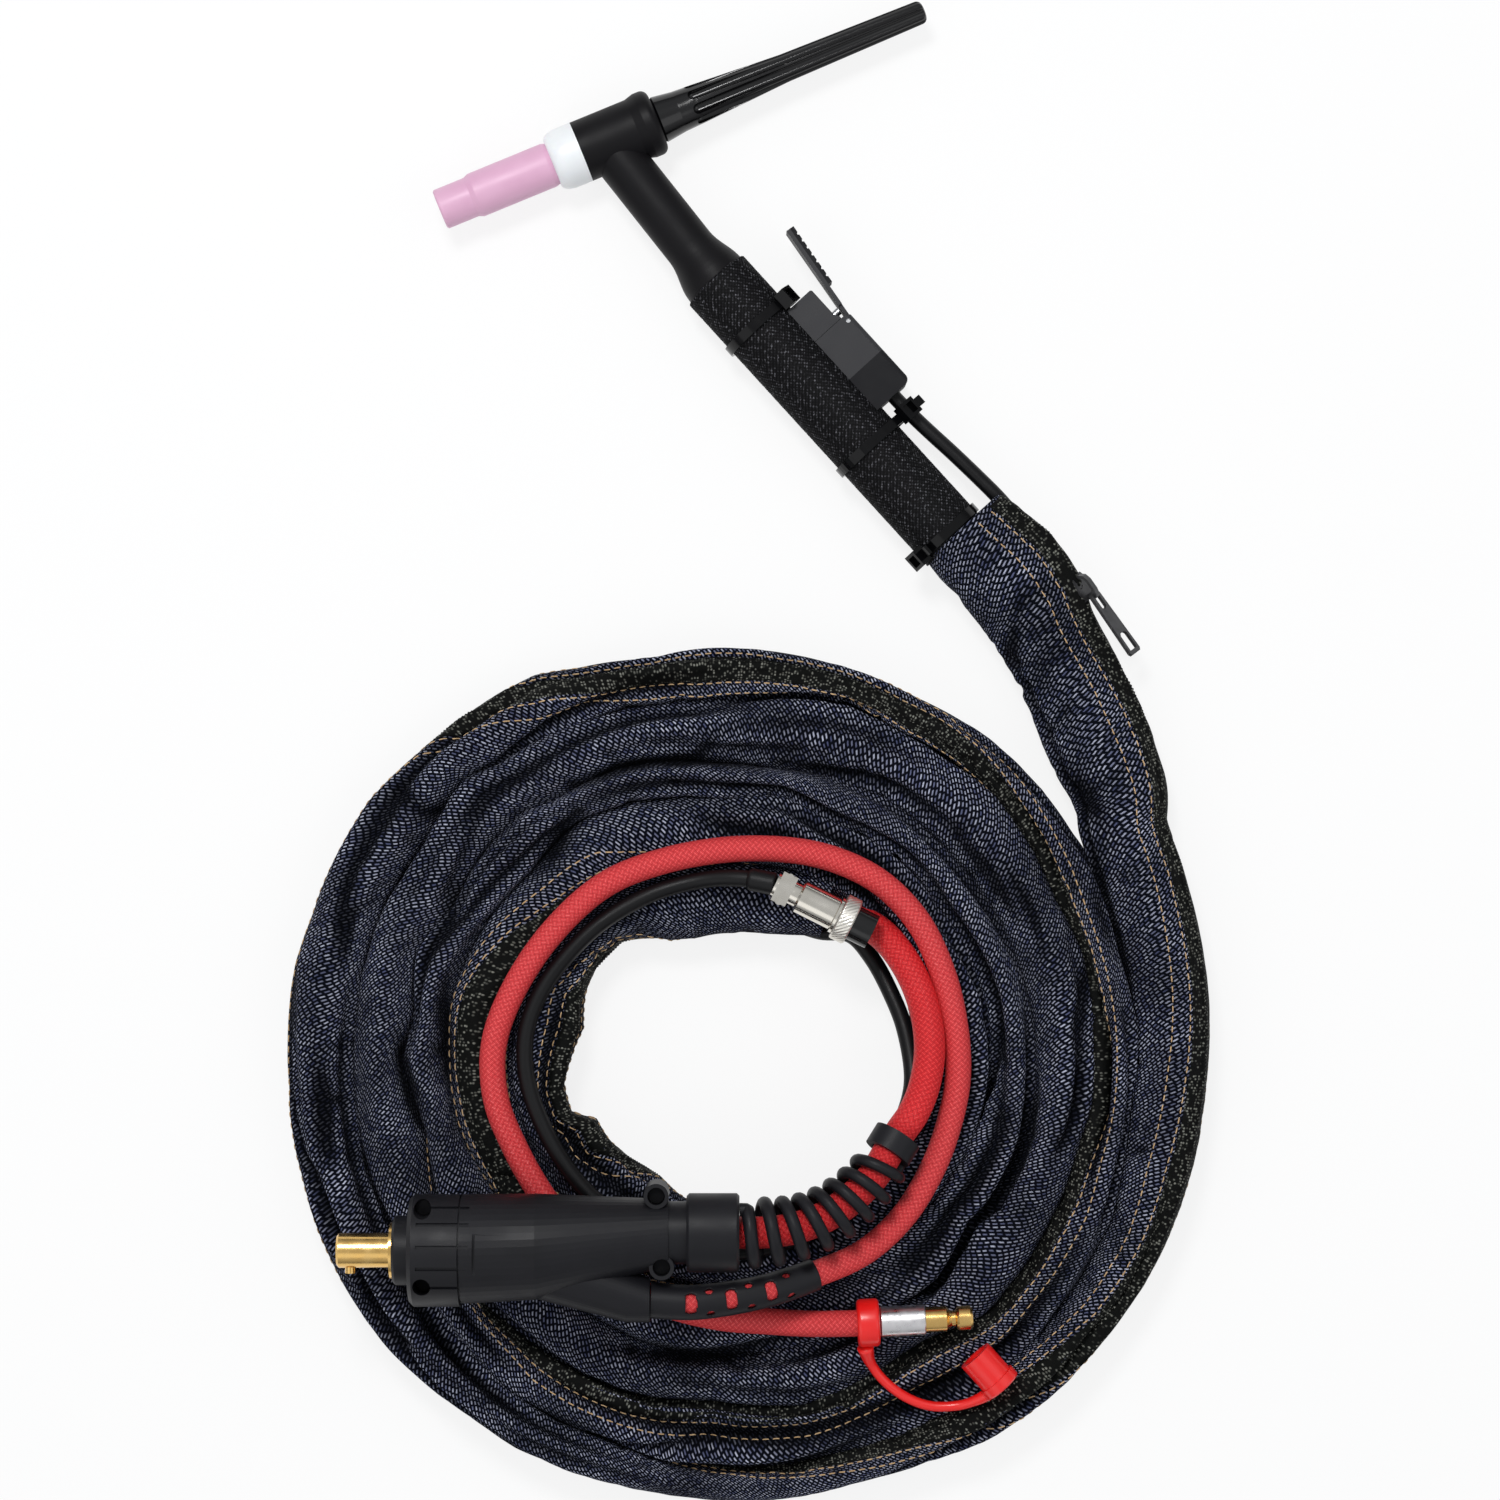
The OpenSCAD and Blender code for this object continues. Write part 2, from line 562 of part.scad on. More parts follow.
// A block of the switch: an outline along the handle, hollowed to sit on the webbing
module switch_block(outline, round_r) difference() {
    intersection() {
        linear_extrude(switch_width, center = true) polygon(outline);
        rotate([90, 0, 90]) linear_extrude(boot_end_x + 5) union() {
            translate([0, -switch_width / 2]) square([switch_height - round_r, switch_width]);
            translate([0, round_r - switch_width / 2])
                square([switch_height, switch_width - 2 * round_r]);
            for (z = [-1, 1]) translate([switch_height - round_r, z * (switch_width / 2 - round_r)])
                circle(r = round_r, $fn = 32);
        }
    }
    rod(pad_floor, -1, boot_end_x + 6);
}

module switch_base() color("#3a3b3e") handle_frame() difference() {
    switch_block([[switch_place, 0], [switch_place, switch_front_height - 0.6],
        [switch_place + 0.6, switch_front_height], [housing_x - 2.6, switch_front_height],
        [housing_x - 1.2, switch_front_height + 1.2], [housing_x - gap / 2, switch_front_height + 1.2],
        [housing_x - gap / 2, 0]], 1);
    translate([plunger_x, wrap_d / 2 + 3, 0]) rotate([-90, 0, 0])
        cylinder(d = plunger_d + 2 * fit, h = 15, $fn = 32);
}

module switch_housing() color("#46474a") handle_frame() difference() {
    switch_block([[housing_x, 0], [housing_x, switch_height - 1.4],
        [housing_x + 1.4, switch_height], [boot_x, switch_height], [boot_x, 0]], 2);
    translate([lever_pin[0], lever_pin[1], 0]) {
        cylinder(r = barrel_r + gap, h = barrel_width + 2 * gap, center = true, $fn = 48);
        cylinder(r = lever_pin_r + fit / 2, h = switch_width + 2, center = true, $fn = 32);
        translate([-8, -barrel_r - gap, -barrel_width / 2 - gap])
            cube([8, 8, barrel_width + 2 * gap]);
        translate([-1, 0, -barrel_width / 2 - gap]) cube([4, 8, barrel_width + 2 * gap]);
    }
}

module switch_boot() color("#232427") handle_frame()
    switch_block(concat([[boot_x, 0], [boot_x, switch_height]],
        arc([boot_end_x - 3, switch_height - 3], 3, 90, 0), [[boot_end_x, 0]]), 2);

// The lever's own frame has its pin's axis at the origin and its plate along -x
module lever_frame() handle_frame() translate([lever_pin[0], lever_pin[1], 0])
    rotate([0, 0, -lever_rest]) children();

module switch_lever() color("#4a4b4e") lever_frame() difference() {
    union() {
        cylinder(r = barrel_r, h = barrel_width, center = true, $fn = 48);
        translate([-12, barrel_r - lever_thickness, -barrel_width / 2])
            cube([12, lever_thickness, barrel_width]);
        translate([-lever_length, barrel_r - lever_thickness, -lever_width / 2])
            cube([lever_length - 7, lever_thickness, lever_width]);
    }
    cylinder(r = lever_pin_r + fit, h = barrel_width + 2, center = true, $fn = 32);
}

module lever_pad() color("#1f2022") lever_frame() difference() {
    translate([-lever_length, barrel_r, -lever_width / 2])
        cube([pad_length, pad_thickness, lever_width]);
    for (i = [1:7]) translate([-lever_length + i * pad_length / 8, barrel_r + pad_thickness, 0])
        cylinder(d = 1.2, h = lever_width + 2, center = true, $fn = 16);
}

module lever_pin() color("#9a9ca0") handle_frame() translate([lever_pin[0], lever_pin[1], 0])
    cylinder(r = lever_pin_r, h = switch_width - 2, center = true, $fn = 32);

module switch_plunger() color("#cfc7b4") handle_frame() {
    reach = lever_pin[0] - plunger_x;
    top = lever_pin[1] + (barrel_r - lever_thickness) / cos(lever_rest) + reach * tan(lever_rest) - 0.45;
    translate([plunger_x, wrap_d / 2 + 4, 0]) rotate([-90, 0, 0])
        cylinder(d = plunger_d, h = top - wrap_d / 2 - 4, $fn = 32);
}

module switch_lead() color("#1d1e20") handle_frame()
    cord(switch_lead_route, switch_lead_d, 8, [1, 0, 0], [1, 0, 0]);

module sleeve_lead() color("#1d2030") {
    last = len(sleeve_route) - 1;
    skin([for (i = [0:last]) ring(sleeve_route[i],
        i == 0 ? [cos(handle_angle), sin(handle_angle), 0] : i == last ? [0, -1, 0]
            : way(sleeve_route, i),
        oval(sleeve_half_widths[i], sleeve_half_heights[i], 12))]);
}

// The coil winds inwards clockwise from above. Its outermost turn is wider where it starts, and
// its innermost end is tucked in.
coil_swell_turns = 0.6;
coil_tuck_turns = 0.3;
function coil_swell_at(t) = coil_swell * max(0, 1 - max(0, t) / coil_swell_turns);
function coil_r(t) = coil_radius - coil_pitch * t
    - coil_tuck * pow(max(0, 1 - (coil_turns - t) / coil_tuck_turns), 2);
function coil_shape(t) = let (h = coil_height / 2, w = coil_width / 2, s = coil_swell_at(t), b = 3.6)
    [[w, 0], [w - b, h], [b - w - s, h], [-w - s, 0], [b - w - s, -h], [w - b, -h]];
function coil_point(t) = concat(coil_centre, [coil_z]) + coil_r(t) * [cos(-360 * t), sin(-360 * t), 0];
function coil_way(t) = [sin(-360 * t), -cos(-360 * t), 0];
coil_ts = concat([for (i = [0:floor(coil_turns * coil_rings - 0.1)]) i / coil_rings], [coil_turns]);
coil_skin = concat([ring(coil_point(0) - coil_tail * coil_way(0), coil_way(0), coil_shape(0))],
    [for (t = coil_ts) ring(coil_point(t), coil_way(t), coil_shape(t))],
    [ring(coil_end, coil_way(coil_turns), coil_shape(coil_turns))]);

module sleeve_coil() color("#1b1e2d") skin(coil_skin);

// Least gap between one turn and the next, measured both ways between the points of one edge and
// the lines of the other, with the straight ends included
function to_line(p, a, b) = let (d = b - a, f = min(1, max(0, (p - a) * d / (d * d)))) norm(p - a - f * d);
coil_count = len(coil_skin);
coil_gaps = [for (i = [0:coil_count - 1], k = [coil_rings - 4:coil_rings + 5]) let (j = i + k)
    if (j < coil_count) each [
        to_line(coil_skin[i][0], coil_skin[j - 1][3], coil_skin[j][3]),
        to_line(coil_skin[j][3], coil_skin[i][0], coil_skin[min(i + 1, coil_count - 1)][0])]];
echo(least_gap_between_turns = min(coil_gaps));

// The zip's slider sits on the sleeve's upper outer facet. Its frame has x along the sleeve,
// z off the facet and y down the facet towards the sleeve's edge.
zip_share = 0.95;
zip_shift = 2;
zip_from = sleeve_route[1];
zip_to = sleeve_route[2];
zip_half_width = sleeve_half_widths[1] + zip_share * (sleeve_half_widths[2] - sleeve_half_widths[1]);
zip_half_height = sleeve_half_heights[1] + zip_share * (sleeve_half_heights[2] - sleeve_half_heights[1]);
zip_tilt = atan(sqrt(3) * zip_half_height / zip_half_width);
zip_facet = [zip_half_width * (cos(15) + cos(45)) / 2, zip_half_height * (sin(15) + sin(45)) / 2];
zip_out = -across(zip_to - zip_from);
zip_normal = sin(zip_tilt) * zip_out + [0, 0, cos(zip_tilt)];
zip_down = cos(zip_tilt) * zip_out - [0, 0, sin(zip_tilt)];
zip_place = zip_from + zip_share * (zip_to - zip_from) + zip_facet[0] * zip_out + [0, 0, zip_facet[1]]
    + gap * zip_normal + zip_shift * zip_down;
zip_pin_x = 5.1;
zip_pin_z = 4.1;
zip_wire_r = 0.7;
zip_plate = 2.4;
zip_bridge_width = 2.4;
module zip_frame() translate(zip_place)
    rotate([-zip_tilt, 0, atan2(zip_to[1] - zip_from[1], zip_to[0] - zip_from[0])]) children();

module zip_slider() color("#5b5c5f") zip_frame() {
    linear_extrude(zip_plate) polygon([[-5.5, -3], [-3, -4.2], [2, -4.2], [5.5, -3], [5.5, 3], [2, 4.2],
        [-3, 4.2], [-5.5, 3]]);
    difference() {
        rotate([90, 0, 0]) linear_extrude(zip_bridge_width, center = true) difference() {
            polygon([[-4.6, zip_plate], [-4.6, 3.8], [-3.4, 5.6], [-1, 6.4], [3.4, 6.4], [5.8, 5.8],
                [6.6, 4.8], [6.6, 3.2], [5.4, zip_plate]]);
            polygon([[-3.4, zip_plate], [-3.4, 3.6], [-2.4, 4.8], [-0.6, 5.3], [2.8, 5.3], [3.4, 4.6],
                [3.4, zip_plate]]);
        }
        translate([zip_pin_x, 0, zip_pin_z]) rotate([90, 0, 0])
            cylinder(r = zip_wire_r + fit, h = zip_bridge_width + 2, center = true, $fn = 24);
    }
}

module zip_pull() color("#4a4b4e") zip_frame() translate([zip_pin_x, 0, zip_pin_z]) {
    length = 27.5;
    eye = 6.9;
    arm_y = zip_bridge_width / 2 + gap;
    rotate([90, 0, 0]) cylinder(r = zip_wire_r, h = 2 * arm_y + 1, center = true, $fn = 24);
    translate([0, 0, -zip_wire_r]) linear_extrude(2 * zip_wire_r) difference() {
        polygon([[-0.7, -2.5], [0.3, -2.9], [length - 1, -3.6], [length, -2.8], [length, 2.8],
            [length - 1, 3.6], [0.3, 2.9], [-0.7, 2.5]]);
        polygon([[-1, -arm_y], [eye - 1, -arm_y], [eye, 0], [eye - 1, arm_y], [-1, arm_y]]);
        polygon([[length - 9.5, -1.4], [length - 8.5, -2.2], [length - 1.8, -2.3], [length - 1.8, 2.3],
            [length - 8.5, 2.2], [length - 9.5, 1.4]]);
    }
}

module power_cable() color("#c32026")
    cord(power_route, power_d, 12, coil_end_dir, -[cos(plug_angle), sin(plug_angle), 0]);

module gas_lead() color("#d8232a")
    cord(gas_route, gas_d, 10, [cos(plug_angle), sin(plug_angle), 0],
        [cos(gas_end_angle), sin(gas_end_angle), 0]);

module control_lead() color("#1d1e20")
    cord(control_route, control_d, 8, coil_end_dir, [cos(connector_angle), sin(connector_angle), 0]);

module plug_pin() color("#d3a545") plug_frame() difference() {
    union() {
        turned([[3, 0], [pin_d / 2 - 0.8, 0], [pin_d / 2, 0.8], [pin_d / 2, pin_length],
            [pin_d / 2 + 4, pin_length], [pin_d / 2 + 4, nose_x], [pin_d / 2 - 1, nose_x],
            [pin_d / 2 - 1, body_x - 4], [3, body_x - 4]]);
        translate([5, -pin_d / 2 - 2, 0]) rotate([-90, 0, 0]) cylinder(d = 4, h = 3, $fn = 32);
        rod(3.1, 8, 14);
    }
}

module plug_nose() color("#1c1d1f") plug_frame() turned([[pin_d / 2 - 1 + fit, nose_x],
    [nose_d / 2 - 1, nose_x], [nose_d / 2, nose_x + 1], [nose_d / 2, collar_x],
    [pin_d / 2 - 1 + fit, collar_x]]);

// The plug's outside: a collar, a body that tapers towards the power cable and a branch for gas
module plug_outside() {
    turned([[0, collar_x], [plug_collar_d / 2 - 1.6, collar_x], [plug_collar_d / 2, collar_x + 1.6],
        [plug_collar_d / 2, body_x - 0.6], [0, body_x - 0.6]]);
    translate([0, 0.6, 0]) rod(plug_front_d / 2 - 0.9, body_x - 1, body_x + 1);
    hull() {
        translate([0, 0.6, 0]) rod(plug_front_d / 2, body_x, body_x + 2);
        translate([0, 1.4, 0]) rod(plug_front_d / 2 - 0.6, body_x + 26, body_x + 28);
        translate([0, power_exit, 0]) rod(plug_neck_d / 2 + 0.8, plug_rear_x - 2, plug_rear_x);
    }
    hull() {
        translate([0, -7, 0]) rod(branch_d / 2 + 3, body_x + 28, body_x + 34);
        translate([0, branch_exit[1], 0]) rod(branch_d / 2, branch_exit[0] - 9, branch_exit[0]);
    }
    translate([0, power_exit, 0]) rod(plug_neck_d / 2, plug_rear_x - 1, relief_x);
    for (i = [2, 3]) translate([plug_screw_places[i][0], plug_screw_places[i][1], 0])
        cylinder(d = 9.4, h = 17, center = true, $fn = 48);
}

screw_seat = 2.6;
module plug_inside() {
    rod(pin_d / 2 - 1 + fit, collar_x - 1, body_x - 4 + fit);
    for (p = plug_screw_places) translate([p[0], p[1], 0]) {
        cylinder(d = 3.2 + 2 * fit, h = 14, center = true, $fn = 24);
        translate([0, 0, screw_seat]) cylinder(d = 6.6, h = 40, $fn = 32);
        translate([0, 0, -45]) cylinder(d = 6.6, h = 40, $fn = 6);
    }
    for (a = [-56, -34, -10, 12, 34]) rotate([a, 0, 0])
        translate([collar_x + 3.5, -0.7, plug_collar_d / 2 - 0.9]) cube([collar_length, 1.4, 3]);
    difference() {
        translate([body_x + 5, -9, plug_front_d / 2 - 1.6]) cube([52, 18, 6]);
        translate([body_x + 6, -8, plug_front_d / 2 - 3]) cube([50, 16, 8]);
    }
}

plug_reach = 2 * plug_length;
module plug_half(side) plug_frame() difference() {
    intersection() {
        plug_outside();
        translate([0, -plug_reach, side > 0 ? 0 : -plug_reach])
            cube([2 * plug_reach, 2 * plug_reach, plug_reach]);
    }
    plug_inside();
}

module plug_upper_half() color("#2c2d30") plug_half(1);
module plug_lower_half() color("#2c2d30") plug_half(-1);

module plug_screws() color("#6f7073") plug_frame() for (p = plug_screw_places)
    translate([p[0], p[1], 0]) {
        translate([0, 0, -6.8]) cylinder(d = 3.2, h = screw_seat + 6.9, $fn = 24);
        translate([0, 0, screw_seat]) cylinder(d = 6, h = 2.4, $fn = 32);
    }

// The bend relief: a collar on the plug's neck, one bead wound round the cable and an end collar
relief_bore_r = power_d / 2 + 0.6;

module power_relief() color("#242528") plug_frame() translate([0, power_exit, 0])
    turned([[relief_bore_r, relief_x], [relief_collar_d / 2 - 1, relief_x],
        [relief_collar_d / 2, relief_x + 1],
        [relief_collar_d / 2, relief_x + relief_collar_length - 1],
        [relief_collar_d / 2 - 1, relief_x + relief_collar_length],
        [relief_bore_r, relief_x + relief_collar_length]]);

// The bead's ends run straight along the cable for one bead's diameter, square to the collars
function mix(a, b, u) = a + (b - a) * min(1, max(0, u));
function bead_r(u) = mix(relief_bead_r[0], relief_bead_r[1], u);
relief_run = norm(relief_last - relief_start);
bead_lead_in = 2 * relief_bead_r[0] / relief_run;
bead_lead_out = 2 * relief_bead_r[1] / relief_run;
bead_wound = 1 - bead_lead_in - bead_lead_out;
function bead_turn(u) = -360 * relief_coils * mix(0, 1, (u - bead_lead_in) / bead_wound);
function bead_at(u) = let (t = relief_way(u), a = across(t), b = cross(a, t), w = bead_turn(u),
    r = mix(relief_coil_r[0], relief_coil_r[1], u)) relief_at(u) + r * (cos(w) * a + sin(w) * b);
bead_steps = round(relief_coils * 8);
bead_us = concat([0], [for (i = [0:bead_steps]) bead_lead_in + i / bead_steps * bead_wound], [1]);
function bead_way(u) = u <= 0 || u >= 1 ? relief_way(u) : unit(bead_at(u + 0.004) - bead_at(u - 0.004));

module relief_coils() color("#242528") skin([for (u = bead_us) let (t = bead_way(u),
    o = unit(bead_at(u) - relief_at(u)), q = cross(o, t), r = bead_r(u))
    [for (k = [0:5]) bead_at(u) + r * (cos(60 * k) * o + sin(60 * k) * q)]]);

module relief_end() color("#242528") translate(relief_last)
    rotate([0, -asin(relief_exit_way[2]), atan2(relief_exit_way[1], relief_exit_way[0])])
        tube(relief_end_d / 2, relief_bore_r, 0, relief_end_length);

// The gas relief fits the lead's first stretch, with a wall that thins towards its end
gas_relief_rings = 4;
gas_relief_wall = [1.4, 1.4, 1.1, 0.8];
function gas_relief_skin(grow) = [for (i = [0:gas_relief_rings - 1])
    let (r = gas_d / 2 + 0.35 + grow * gas_relief_wall[i])
    ring(gas_route[i], i == 0 ? [cos(plug_angle), sin(plug_angle), 0] : way(gas_route, i),
        oval(r, r, 12))];

// Each window and pair of holes goes through from top to bottom, at a share of a segment
gas_relief_windows = [[0, 0.81], [1, 0.48], [2, 0.12]];
gas_relief_holes = [[1, 0.15], [1, 0.79], [2, 0.43]];
module on_gas_lead(place) translate(mix_points(gas_route[place[0]], gas_route[place[0] + 1], place[1]))
    rotate([0, 0, atan2(gas_route[place[0] + 1][1] - gas_route[place[0]][1],
        gas_route[place[0] + 1][0] - gas_route[place[0]][0])]) children();
function mix_points(p, q, f) = p + f * (q - p);

module gas_relief() color("#242528") difference() {
    skin(gas_relief_skin(1));
    skin(gas_relief_skin(0));
    for (w = gas_relief_windows) on_gas_lead(w) cube([4.2, 8.6, 30], center = true);
    for (h = gas_relief_holes, y = [-4.6, 4.6]) on_gas_lead(h) translate([0, y, 0])
        cylinder(d = 2.6, h = 30, center = true, $fn = 16);
}

module gas_ferrule() color("#c9cbcd") gas_end_frame() turned([[3.05, ferrule_x],
    [ferrule_d / 2 - 0.4, ferrule_x], [ferrule_d / 2, ferrule_x + 0.4],
    [ferrule_d / 2, nipple_x - 0.4], [ferrule_d / 2 - 0.4, nipple_x], [3.05, nipple_x]]);

module gas_nipple() color("#c99b3d") gas_end_frame() turned([[1.6, ferrule_x + 2],
    [3, ferrule_x + 2], [3, nipple_x], [4.8, nipple_x], [4.8, nipple_x + 8],
    [3.6, nipple_x + 9], [3, nipple_x + 10], [3, nipple_x + 11.4], [nipple_d / 2 - 0.6, nipple_x + 12],
    [nipple_d / 2, nipple_x + 12.8], [nipple_d / 2, nipple_x + 17],
    [nipple_d / 2 - 1, nipple_x + 18], [1.6, nipple_x + 18]]);

dust_cap_end = [-41.2, -500.3, 12.6 + dust_cap_d / 2 + 1.2];
dust_cap_angle = 109.7;
strap_d = 4;
strap_route = [on_gas_end([tether_length / 2, -8.4, 0]), [-84.2, -473, 18], [-82.4, -482, 15.2],
    [-77, -491, 14.9], [-69.5, -497.6, 14.9], [-60, -501, 15.2], [-51.4, -501.4, 17.4]];

module cap_tether() color("#d91f1f") {
    gas_end_frame() turned([[gas_d / 2 + 0.25, 0], [9.1, 0.8], [9.1, tether_length - 0.8],
        [gas_d / 2 + 0.25, tether_length]]);
    cord(strap_route, strap_d, 8, [-sin(-gas_end_angle), -cos(gas_end_angle), -0.3], [1, 0.1, 0.1]);
}

module dust_cap() color("#d91f1f") translate(dust_cap_end) rotate([0, 0, dust_cap_angle]) {
    collar = 4;
    turned([[0, 0], [dust_cap_d / 2 + 0.3, 0], [dust_cap_d / 2 + 0.8, 0.6],
        [dust_cap_d / 2 + 0.8, collar], [dust_cap_d / 2, collar], [dust_cap_d / 2, dust_cap_length],
        [nipple_d / 2 + 0.25, dust_cap_length], [nipple_d / 2 + 0.25, 3], [0, 3]]);
}

// The control connector, in its own frame: x from the cable clamp to the insert
clamp_length = 10;
shell_end_x = 27;
nut_length = 6.1;
insert_end_x = 41.2;
insert_neck_r = insert_d / 2 - 0.5;
insert_step_x = shell_end_x + nut_length + 0.1;

module connector_clamp() color("#b9b6ae") connector_frame() difference() {
    union() {
        rod(4.6, 0, clamp_length);
        translate([1, -6, -3.2]) cube([6, 12, 6.4]);
        translate([1, -5.6, 3.6]) cube([6, 11.2, 1.4]);
    }
    rod(2.2, 4, clamp_length + 1);
    for (y = [-1, 1]) translate([4, y * 4.9, 0]) cylinder(d = 1.7, h = 20, center = true, $fn = 24);
}

module clamp_screws() color("#c4c1b9") connector_frame() for (y = [-1, 1])
    translate([4, y * 4.9, 0]) {
        translate([0, 0, -2.8]) cylinder(d = 1.6, h = 7.8, $fn = 24);
        translate([0, 0, 5]) cylinder(d = 3, h = 1.2, $fn = 24);
    }

module connector_shell() color("#c2beb4") connector_frame() turned([[5, clamp_length],
    [shell_d / 2 - 0.8, clamp_length], [shell_d / 2, clamp_length + 0.8],
    [shell_d / 2, shell_end_x - 1.6], [shell_d / 2 + 0.9, shell_end_x - 1.2],
    [shell_d / 2 + 0.9, shell_end_x - 0.1], [5, shell_end_x - 0.1]]);

module coupling_nut() color("#b7b3a8") connector_frame() difference() {
    tube(nut_d / 2, insert_neck_r + fit, shell_end_x, shell_end_x + nut_length);
    for (i = [0:35]) rotate([10 * i, 0, 0]) translate([shell_end_x + 0.5, 0, nut_d / 2 + 0.25])
        rotate([0, 90, 0]) cylinder(d = 1, h = nut_length - 1, $fn = 16);
}

module connector_insert() color("#1a1b1d") connector_frame() difference() {
    turned([[0, shell_end_x - 0.1], [insert_neck_r, shell_end_x - 0.1], [insert_neck_r, insert_step_x],
        [insert_d / 2, insert_step_x], [insert_d / 2, insert_end_x], [0, insert_end_x]]);
    for (i = [0:4]) rotate([72 * i, 0, 0]) translate([0, 0, 3.6])
        rod(1, insert_end_x - 8, insert_end_x + 1);
}

module connector_contacts() color("#d3b25a") connector_frame() for (i = [0:4])
    rotate([72 * i, 0, 0]) translate([0, 0, 3.6]) tube(0.95, 0.6, insert_end_x - 8, insert_end_x - 0.5);

gas_cup();
insulator_ring();
collet();
collet_body();
head_core();
head_body();
neck_tube();
back_cap();
cap_seal();
handle_shell();
inner_cable();
cable_ferrule();
webbing_wrap();
cable_tie_front();
cable_tie_rear();
cable_tie_sleeve();
switch_base();
switch_housing();
switch_boot();
switch_lever();
lever_pad();
lever_pin();
switch_plunger();
switch_lead();
sleeve_lead();
sleeve_coil();
zip_slider();
zip_pull();
power_cable();
gas_lead();
control_lead();
plug_pin();
plug_nose();
plug_upper_half();
plug_lower_half();
plug_screws();
power_relief();
relief_coils();
relief_end();
gas_relief();
gas_ferrule();
gas_nipple();
cap_tether();
dust_cap();
connector_clamp();
clamp_screws();
connector_shell();
coupling_nut();
connector_insert();
connector_contacts();
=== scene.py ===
import math

import bmesh
import bpy
import numpy as np
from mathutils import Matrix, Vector, noise


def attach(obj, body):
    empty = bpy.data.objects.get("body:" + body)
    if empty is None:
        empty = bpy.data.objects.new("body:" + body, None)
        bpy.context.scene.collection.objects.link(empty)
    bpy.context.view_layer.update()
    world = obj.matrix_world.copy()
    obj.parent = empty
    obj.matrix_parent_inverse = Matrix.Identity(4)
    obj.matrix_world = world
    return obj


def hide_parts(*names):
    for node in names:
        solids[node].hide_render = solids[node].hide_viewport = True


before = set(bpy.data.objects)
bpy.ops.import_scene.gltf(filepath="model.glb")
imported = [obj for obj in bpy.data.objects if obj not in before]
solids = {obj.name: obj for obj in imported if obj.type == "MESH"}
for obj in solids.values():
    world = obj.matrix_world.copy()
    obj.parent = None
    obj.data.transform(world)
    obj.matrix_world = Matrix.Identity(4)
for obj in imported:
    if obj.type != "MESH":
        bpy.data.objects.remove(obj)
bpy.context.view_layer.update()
mm = 0.001
print("frame loaded:", len(solids), "solids")

# Camera, looking straight down on the flat lay, in metres
camera = {"place": (-0.0381, -0.2389, 1.48465), "turn": -22.36, "lens": 92.09}
cameraData = bpy.data.cameras.new("camera")
cameraData.lens = camera["lens"]
cameraData.sensor_width = 36
cameraData.clip_end = 20
cameraObject = bpy.data.objects.new("camera", cameraData)
cameraObject.location = camera["place"]
cameraObject.rotation_euler = (0, 0, math.radians(camera["turn"]))
bpy.context.scene.collection.objects.link(cameraObject)
bpy.context.scene.camera = cameraObject
bpy.context.scene.view_settings.view_transform = "Standard"


def linear(hexColour):
    parts = [int(hexColour[i:i + 2], 16) / 255 for i in (1, 3, 5)]
    return [p / 12.92 if p <= 0.04045 else ((p + 0.055) / 1.055) ** 2.4 for p in parts] + [1]


# Adds a node: its sockets take a number, a colour, another node's output, or a node for its first one
def addNode(tree, kind, sockets=None, **settings):
    node = tree.nodes.new("ShaderNode" + kind)
    for name, value in settings.items():
        setattr(node, name, value)
    for name, value in (sockets or {}).items():
        if isinstance(value, bpy.types.Node):
            value = next(output for output in value.outputs if output.enabled)
        if isinstance(value, bpy.types.NodeSocket):
            tree.links.new(value, node.inputs[name])
        elif isinstance(value, str):
            node.inputs[name].default_value = linear(value)
        else:
            node.inputs[name].default_value = value
    return node


def newFinish(name, sockets):
    material = bpy.data.materials.new(name)
    material.use_nodes = True
    shader = material.node_tree.nodes["Principled BSDF"]
    for socket, value in sockets.items():
        shader.inputs[socket].default_value = linear(value) if isinstance(value, str) else value
    return material, material.node_tree, shader


# A surface with a fine grain: its size and depth in mm, two tones, and a low and a high roughness
def grained(name, sockets, grain):
    material, tree, shader = newFinish(name, sockets)
    place = addNode(tree, "TexCoord").outputs["Object"]
    fine = addNode(tree, "TexNoise", {"Vector": place, "Scale": 1 / (grain["size"] * mm), "Detail": 3.0})
    broad = addNode(tree, "TexNoise", {"Vector": place, "Scale": 1 / (grain["patch"] * mm), "Detail": 4.0})
    blend = addNode(tree, "Mix", {0: broad, 6: grain["tones"][0], 7: grain["tones"][1]}, data_type="RGBA")
    rough = addNode(tree, "MapRange", {"Value": broad, "From Min": 0.3, "From Max": 0.7,
                                       "To Min": grain["rough"][0], "To Max": grain["rough"][1]})
    bump = addNode(tree, "Bump", {"Height": fine, "Strength": grain["strength"],
                                  "Distance": grain["depth"] * mm})
    tree.links.new(blend.outputs[2], shader.inputs["Base Color"])
    tree.links.new(rough.outputs["Result"], shader.inputs["Roughness"])
    tree.links.new(bump.outputs["Normal"], shader.inputs["Normal"])
    return material


